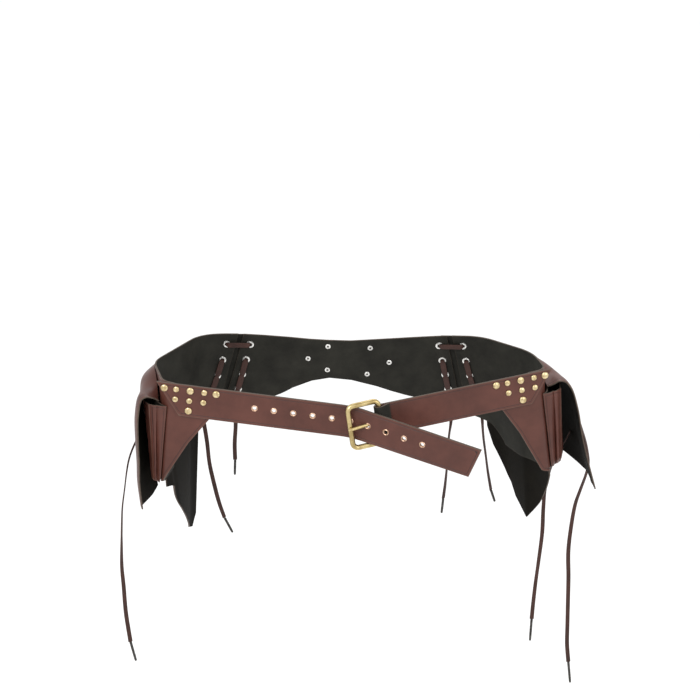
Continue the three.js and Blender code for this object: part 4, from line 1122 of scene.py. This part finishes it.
def make_flap(side):
    front = [Vector((out, down, 0)) for out, down in FLAP_RUN[side["side"]]["front"]]
    rear = [Vector((out, down, 0)) for out, down in FLAP_RUN[side["side"]]["rear"]]
    flap_depth = PANEL_WALL + LAYER_GAP

    def inner(share, t):
        blend = smoothstep(share, 0, FLAP_TURN)
        run = smooth_point(front, t).lerp(smooth_point(rear, t), blend)
        cut = between(FLAP_OUTLINE, share, 2)
        down = run.y * (1 + (cut - 1) * t * t)
        s = side["corner"] + side["turn"] * (FLAP_FROM_CORNER + share * FLAP_LENGTH)
        return ring.place(s, down, flap_depth + run.x)

    def outer(share, t):
        near = 1e-3
        along = inner(share + near, t) - inner(share - near, t)
        downward = inner(share, min(1.0, t + near)) - inner(share, max(0.0, t - near))
        return inner(share, t) + along.cross(downward).normalized() * (-side["turn"] * FLAP_WALL)

    columns = shares(FLAP_COLUMNS, 2.5, FLAP_LENGTH)
    rows = shares(FLAP_ROWS, 2.5, FLAP_DROP)

    def place(i, j):
        share, t = columns[i], rows[j]
        drop = FLAP_DROP * 1.15 * between(FLAP_OUTLINE, share, 2)
        flat = (share * FLAP_LENGTH, t * drop)
        distance = min(share * FLAP_LENGTH, (1 - share) * FLAP_LENGTH, (1 - t) * drop, RIM_REACH)
        return outer(share, t), flat, distance

    bm = hide_grid(len(columns) - 1, len(rows) - 1, place)
    if side["turn"] > 0:
        bmesh.ops.reverse_faces(bm, faces=bm.faces)
    nodes = ["pouch_flap_" + side["side"]]
    # The flesh side takes the darker copy of the flesh colour, painted shade
    piece = finish_piece("flap_" + side["side"], bm, SHADED_HANGING_HIDE, nodes)
    return give_wall(piece, FLAP_WALL)


for side in SIDES:
    make_flap(side)

# %% [markdown]
# A pouch is a soft box: a back, a front, and at each end a gusset of two round rolls that let
# it open. Its levels are closed outlines that narrow to a rounded bottom. The wall comes from
# Solidify, and the pleats' crests carry the same pale rub and dark crease as a cut edge.

# %% Pouches
POUCH_LENGTH = 100.0
POUCH_FROM_CORNER = 7.0
POUCH_TOP = 31.0
POUCH_HEIGHT = 105.0
POUCH_FORWARD = 13.0
POUCH_ON_PANEL = 4.0
POUCH_ON_LEAF = 24.0
POUCH_GAP = {"left": 3.2, "right": 2.3}
POUCH_THICK = {"left": 14.5, "right": 18.0}
POUCH_TAPER = {"left": 0.6, "right": 0.95}
PLEAT_DEPTH = 4.0
POUCH_FACE_STEPS = 26
PLEAT_STEPS = 24
POUCH_LEVEL_STEP = 3.5
# Rows of a level, its share of the taper, of the thickness and of the pleats, and its inset
POUCH_LEVELS = [
    (0, 0, 1, 0.4, 0), (0.5, 0.6, 1, 0.9, 0), (0.9, 1, 1, 1, 0), (0.97, 1, 0.9, 0.8, 2),
    (1, 1, 0.6, 0.4, 5),
]
PLEAT_END = 0.3
PLEAT_ROUND = 0.7
PLEAT_MIDDLE = (0.25, 0.75)


def pouch_back(side, along):
    """How far out the pouch's back lies: on the side panel at its front, on the leaf behind."""
    on_panel = PANEL_WALL + LAYER_GAP
    on_leaf = on_panel + LEAF_WALL + POUCH_GAP[side["side"]]
    return on_panel + (on_leaf - on_panel) * smoothstep(along, POUCH_ON_PANEL, POUCH_ON_LEAF)


def pleat_dip(share):
    """Two round rolls of hide with a sharp valley between them, from 0 on a crest to 1."""
    dip = 1 - abs(math.sin(2 * math.pi * share)) ** PLEAT_ROUND
    return dip if PLEAT_MIDDLE[0] < share < PLEAT_MIDDLE[1] else PLEAT_END * dip


def pouch_outline(side, down):
    """Points (along, out, distance to a seam) round the pouch at a level."""
    narrow = 1 - (1 - POUCH_TAPER[side["side"]]) * between(POUCH_LEVELS, down, 1)
    thick = POUCH_THICK[side["side"]] * narrow * between(POUCH_LEVELS, down, 2)
    fold = PLEAT_DEPTH * between(POUCH_LEVELS, down, 3)
    start = between(POUCH_LEVELS, down, 4)
    end = POUCH_LENGTH - start
    points = []
    for k in range(PLEAT_STEPS):
        share = k / PLEAT_STEPS
        front = start - POUCH_FORWARD * (1 - share)
        seam = min(share, 1 - share) * math.hypot(thick, POUCH_FORWARD)
        points.append((front + pleat_dip(share) * fold, share * thick, seam))
    for k in range(POUCH_FACE_STEPS):
        along = start + (end - start) * k / POUCH_FACE_STEPS
        points.append((along, thick, min(along - start, end - along)))
    for k in range(PLEAT_STEPS):
        share = 1 - k / PLEAT_STEPS
        points.append((end - pleat_dip(share) * fold, share * thick, min(share, 1 - share) * thick))
    for k in range(POUCH_FACE_STEPS):
        along = end - (end - start + POUCH_FORWARD) * k / POUCH_FACE_STEPS
        points.append((along, 0.0, min(along - start + POUCH_FORWARD, end - along)))
    return points


def make_pouch(side):
    levels = stations(POUCH_LEVELS, POUCH_HEIGHT, POUCH_LEVEL_STEP)
    outlines = [pouch_outline(side, down) for down in levels]
    around = len(outlines[0])

    def place(i, j):
        along, out, seam = outlines[j][i % around]
        down = levels[j] * POUCH_HEIGHT
        from_corner = POUCH_FROM_CORNER + along
        s = side["corner"] + side["turn"] * from_corner
        distance = min(seam, down + 0.5, RIM_REACH)
        depth = pouch_back(side, from_corner) + out
        return ring.place(s, POUCH_TOP + down, depth), (i * 3.0, down), distance

    bm = hide_grid(around, len(levels) - 1, place)
    bmesh.ops.remove_doubles(bm, verts=bm.verts, dist=1e-6)
    last = [e for e in bm.edges if e.is_boundary]
    depths = sorted({round(v.co.z, 5) for e in last for v in e.verts})
    middle = (depths[0] + depths[-1]) / 2
    bottom = [e for e in last if all(v.co.z < middle for v in e.verts)]
    bmesh.ops.holes_fill(bm, edges=bottom, sides=0)
    bmesh.ops.recalc_face_normals(bm, faces=bm.faces)
    bm.faces.ensure_lookup_table()
    centre = sum((v.co for v in bm.verts), Vector()) / len(bm.verts)
    outward = sum(f.normal.dot(f.calc_center_median() - centre) * f.calc_area() for f in bm.faces)
    if outward < 0:
        bmesh.ops.reverse_faces(bm, faces=bm.faces)
    piece = finish_piece("pouch_shell_" + side["side"], bm, HIDE, ["pouch_" + side["side"]])
    return give_wall(piece, POUCH_WALL, bevel=0.0)


for side in SIDES:
    make_pouch(side)

# %% [markdown]
# The buckle is one brass wire bent round a rectangle, with a prong curled on its hinge bar.
# Both are round sections carried along a line.

# %% Buckle frame and prong
CORNER_STEPS = 8


def frame_line():
    """The middle line of the buckle's wire, closed."""
    half = (BUCKLE_HEIGHT - BUCKLE_WIRE) / 2
    near = BUCKLE_CORNER
    far = buckle_span - BUCKLE_CORNER
    top = half - BUCKLE_CORNER
    centres = [(near, top, math.pi), (far, top, math.pi / 2), (far, -top, 0.0), (near, -top, -math.pi / 2)]
    flat = []
    for x, y, start in centres:
        for k in range(CORNER_STEPS + 1):
            angle = start - math.pi / 2 * k / CORNER_STEPS
            flat.append((x + BUCKLE_CORNER * math.cos(angle), y + BUCKLE_CORNER * math.sin(angle)))
    flat.append(flat[0])
    return [hinge_middle + to_far * x + bar_axis * y for x, y in flat]


def round_section(radius, sides=20):
    return [(radius * math.cos(2 * math.pi * k / sides), radius * math.sin(2 * math.pi * k / sides))
            for k in range(sides)]


def make_frame():
    line = frame_line()
    frames = []
    for k in range(len(line)):
        before = line[k - 1] if k else line[-2]
        after = line[k + 1] if k < len(line) - 1 else line[1]
        toward = (after - before).normalized()
        frames.append((toward.cross(buckle_face).normalized(), buckle_face))
    bm = bmesh.new()
    tube_grid(bm, line, round_section(BUCKLE_WIRE / 2), frames, closed_ends=False)
    bmesh.ops.recalc_face_normals(bm, faces=bm.faces)
    return finish_piece("buckle", bm, [brass], ["buckle_frame"])


def make_prong():
    bm = bmesh.new()
    middle = (pin_inner + pin_outer) / 2
    half = PRONG_WIRE / 2
    turn = Matrix((to_far, buckle_face, to_far.cross(buckle_face))).transposed().to_4x4()
    shoulder = half * 0.7
    profile = [
        (pin_inner, -shoulder), (middle, -half), (pin_outer, -shoulder), (pin_outer, shoulder),
        (middle, half), (pin_inner, shoulder), (pin_inner, -shoulder),
    ]
    add_turned(bm, profile, Matrix.Translation(hinge_middle * MM) @ turn, steps=28)
    across = pin_slope.cross(buckle_face).normalized()
    up = across.cross(pin_slope).normalized()
    reach = (pin_end - pin_start).length
    stops = [0.0, 0.1, 0.4, 0.7, 0.85, 0.95, 1.0]
    radii = [1.0, 1.0, 1.0, 0.95, 0.88, 0.78, 0.55]
    drop = [0.0, 0.0, 0.0, 0.0, 0.1, 0.3, 0.6]
    line = [pin_start + pin_slope * reach * stop - up * fall for stop, fall in zip(stops, drop)]
    frames = [(across * half * r, up * half * r) for r in radii]
    tube_grid(bm, line, round_section(1.0, 16), frames)
    bmesh.ops.recalc_face_normals(bm, faces=bm.faces)
    return finish_piece("prong", bm, [brass], ["buckle_prong"])


make_frame()
make_prong()

# %% [markdown]
# Eyelets are rolled metal rings. On the strap they are small rose brass ones. At the lacings
# the flat side is outside and the back, which shows, is crimped into petals. Each is a
# profile spun round its own axis.

# %% Eyelets
eyelet_brass = make_metal("eyelet_brass", dark=(0.34, 0.19, 0.12), light=(0.72, 0.50, 0.36),
                          roughness=0.3, scale=400.0)
CRIMP_PETALS = 8


def ring_profile(bore, rim, wall, proud):
    """A rolled ring on both faces of a wall, with the barrel between them."""
    crest = (bore + rim) / 2
    shoulder = proud * 0.7
    return [
        (bore, -0.2), (bore, wall + 0.2), (bore + 0.35, wall + proud), (crest, wall + proud + 0.15),
        (rim - 0.25, wall + shoulder), (rim, wall + 0.05), (bore + 0.5, wall - 0.1), (bore + 0.5, 0.1),
        (rim, -0.05), (rim - 0.25, -shoulder), (crest, -proud - 0.15), (bore + 0.35, -proud), (bore, -0.2),
    ]


strap_eyelets = bmesh.new()
for s in strap_holes:
    add_turned(strap_eyelets, ring_profile(bore=2.5, rim=4.0, wall=STRAP_WALL, proud=0.5),
               basis_at(long_strap, s, STRAP_HOLE_LEVEL, 0.0), steps=20)
finish_piece("strap_eyelets", strap_eyelets, [eyelet_brass])


def crimp(bm, fresh, matrix, rim):
    """Pulls the inside ring of a lacing eyelet into petals."""
    back = matrix.inverted()
    for vert in fresh:
        local = back @ vert.co
        radius = math.hypot(local.x, local.y) / MM
        if local.z < -0.0001 and radius > rim * 0.7:
            angle = math.atan2(local.y, local.x)
            pull = 1 - 0.16 * (1 - math.cos(CRIMP_PETALS * angle)) / 2
            vert.co = matrix @ Vector((local.x * pull, local.y * pull, local.z))


lacing_eyelets = bmesh.new()
for lacing in LACINGS:
    for row in range(LACE_ROWS):
        for column in (-1, 1):
            s, h = lace_hole(lacing, column, row)
            place = basis_at(ring, s, h, 0.0)
            fresh = add_turned(lacing_eyelets, ring_profile(2.4, 5.2, PANEL_WALL, 0.6), place, steps=32)
            crimp(lacing_eyelets, fresh, place, 5.2)
finish_piece("lacing_eyelets", lacing_eyelets, [silver])

# %% [markdown]
# Each lacing is one flat thong drawn through the eyelets: level at the top inside, crossed
# behind, then in upright runs inside. Every run dips into its two eyelets.

# %% Drawn laces
RUN_WIDTH = 7.6
RUN_DIP = 2.6


def add_run(bm, first, last, depth):
    """A flat thong between two holes at a depth, with its ends dipping into them."""
    s0, h0 = first
    s1, h1 = last
    through = PANEL_WALL / 2
    toward = 1 if depth < through else -1
    steps = [(0.0, through), (0.0, depth + toward * RUN_DIP * 0.5), (0.04, depth + toward * 0.3)]
    middle = [(share, depth) for share in (0.12, 0.3, 0.5, 0.7, 0.88)]
    steps = steps + middle + [(1 - share, d) for share, d in reversed(steps)]
    points = [ring.place(s0 + (s1 - s0) * share, h0 + (h1 - h0) * share, d) for share, d in steps]
    line, _ = even_line(points, 1.6)
    run = (ring.place(s1, h1, depth) - ring.place(s0, h0, depth)).normalized()
    out = ring.at((s0 + s1) / 2)[2]
    across = run.cross(out).normalized()
    frames = []
    for k in range(len(line)):
        before = line[max(k - 1, 0)]
        after = line[min(k + 1, len(line) - 1)]
        dip = (after - before).normalized()
        narrow = min(1.0, 0.45 + 0.55 * min(k, len(line) - 1 - k) / 3.5)
        frames.append((across * narrow, dip.cross(across).normalized()))
    tube_grid(bm, line, thong_section(RUN_WIDTH, LACE_THICK), frames)


for lacing in LACINGS:
    bm = bmesh.new()
    left = [lace_hole(lacing, -1, row) for row in range(LACE_ROWS)]
    right = [lace_hole(lacing, 1, row) for row in range(LACE_ROWS)]
    inside = LACE_INSIDE + LACE_THICK / 2
    outside = LACE_OUTSIDE + LACE_THICK / 2
    add_run(bm, left[0], right[0], inside)
    add_run(bm, left[0], right[1], outside)
    add_run(bm, right[0], left[1], outside)
    for row in range(1, LACE_ROWS - 1):
        add_run(bm, left[row], left[row + 1], inside)
        add_run(bm, right[row], right[row + 1], inside)
        if row > 1:
            add_run(bm, left[row], right[row], outside)
    bmesh.ops.recalc_face_normals(bm, faces=bm.faces)
    finish_piece("laced_" + lacing["side"], bm, [lace_hide], ["lacing_" + lacing["side"]])

# %% [markdown]
# The studs are rapid rivets with a shallow dome. Inside the back their other halves show as
# pale rings; their dark middle is painted shade where the rivet's hollow is.

# %% Studs and back rivets
STUD_FROM_CORNER = 42.0
STUD_FROM_EDGE = 6.6
STUD_LARGE = 9.0
STUD_SMALL = 7.4
STUD_PITCH = 17.2
STUD_ROW_PITCH = 12.8
RIVET_CAP = 8.0
RIVET_WASHER = 7.4
SHANK = 2.4
STUD_OUTER = 1.84
# Place along the row in pitches, row, and cap
STUDS = [
    (-STUD_OUTER, 0, STUD_LARGE), (-1, 0, STUD_SMALL), (0, 0, STUD_LARGE), (1, 0, STUD_SMALL),
    (STUD_OUTER, 0, STUD_LARGE), (-1, 1, STUD_SMALL), (0, 1, STUD_SMALL), (1, 1, STUD_SMALL),
    (0, 2, STUD_LARGE),
]
BACK_RIVETS = [(0.416, 0.135), (0.315, 0.29), (0.41, 0.43), (0.625, 0.15), (0.72, 0.33), (0.61, 0.48)]


def dome_profile(cap, seat, foot):
    """A domed cap at a seat height, with its shank down to a foot."""
    half = cap / 2
    rise = cap * 0.2
    angles = [math.pi / 2 * (1 - k / 7) for k in range(8)]
    curve = [(half * math.sin(a), seat + 0.45 + rise * math.cos(a)) for a in angles]
    shank = [(0.0, foot), (SHANK / 2, foot), (SHANK / 2, seat)]
    return shank + [(half - 0.4, seat), (half, seat + 0.2)] + curve


def washer_profile(washer, seat):
    """A pressed ring on the inside of the wall, with its dented middle."""
    half = washer / 2
    return [
        (0.0, seat - 0.1), (half - 0.3, seat - 0.1), (half, seat - 0.35), (half - 0.35, seat - 0.8),
        (half * 0.62, seat - 1.0), (half * 0.4, seat - 0.75), (half * 0.34, seat - 0.35), (0.0, seat - 0.3),
    ]


for end_side, course, turn in (("left", long_strap, -1), ("right", short_strap, 1)):
    for number, (along, row, cap) in enumerate(STUDS, start=1):
        from_end = STUD_FROM_CORNER + along * STUD_PITCH
        s = course.length - from_end if turn < 0 else from_end
        h = STUD_FROM_EDGE + row * STUD_ROW_PITCH
        bm = bmesh.new()
        profile = dome_profile(cap, STRAP_WALL + CLEARANCE, -PANEL_WALL)
        add_turned(bm, profile, basis_at(course, s, h, 0.0))
        nodes = [f"stud_{end_side}_{number}"]
        finish_piece(f"cap_{end_side}_{number}", bm, [stud_metal], nodes)

# A near black metal for the middle of each rivet's back: painted shade for its hollow
painted_hollow_shade = make_metal("painted_hollow_shade", dark=(0.02, 0.019, 0.018), light=(0.06, 0.055, 0.05),
                         roughness=0.5, scale=300.0)
for number, (along, down) in enumerate(BACK_RIVETS, start=1):
    s = back_from + (back_to - back_from) * along
    place = basis_at(ring, s, down * BACK_HEIGHT, 0.0)
    bm = bmesh.new()
    add_turned(bm, dome_profile(RIVET_CAP, PANEL_WALL + CLEARANCE, 0.0), place)
    add_turned(bm, washer_profile(RIVET_WASHER, 0.0), place, steps=32)
    # The washer's middle takes the dark material, painted shade in place of the hollow
    for face in bm.faces:
        local = place.inverted() @ face.calc_center_median()
        if local.z < 0 and math.hypot(local.x, local.y) < RIVET_WASHER / 2 * 0.36 * MM:
            face.material_index = 1
    finish_piece(f"rivet_{number}", bm, [silver, painted_hollow_shade], [f"back_rivet_{number}"])
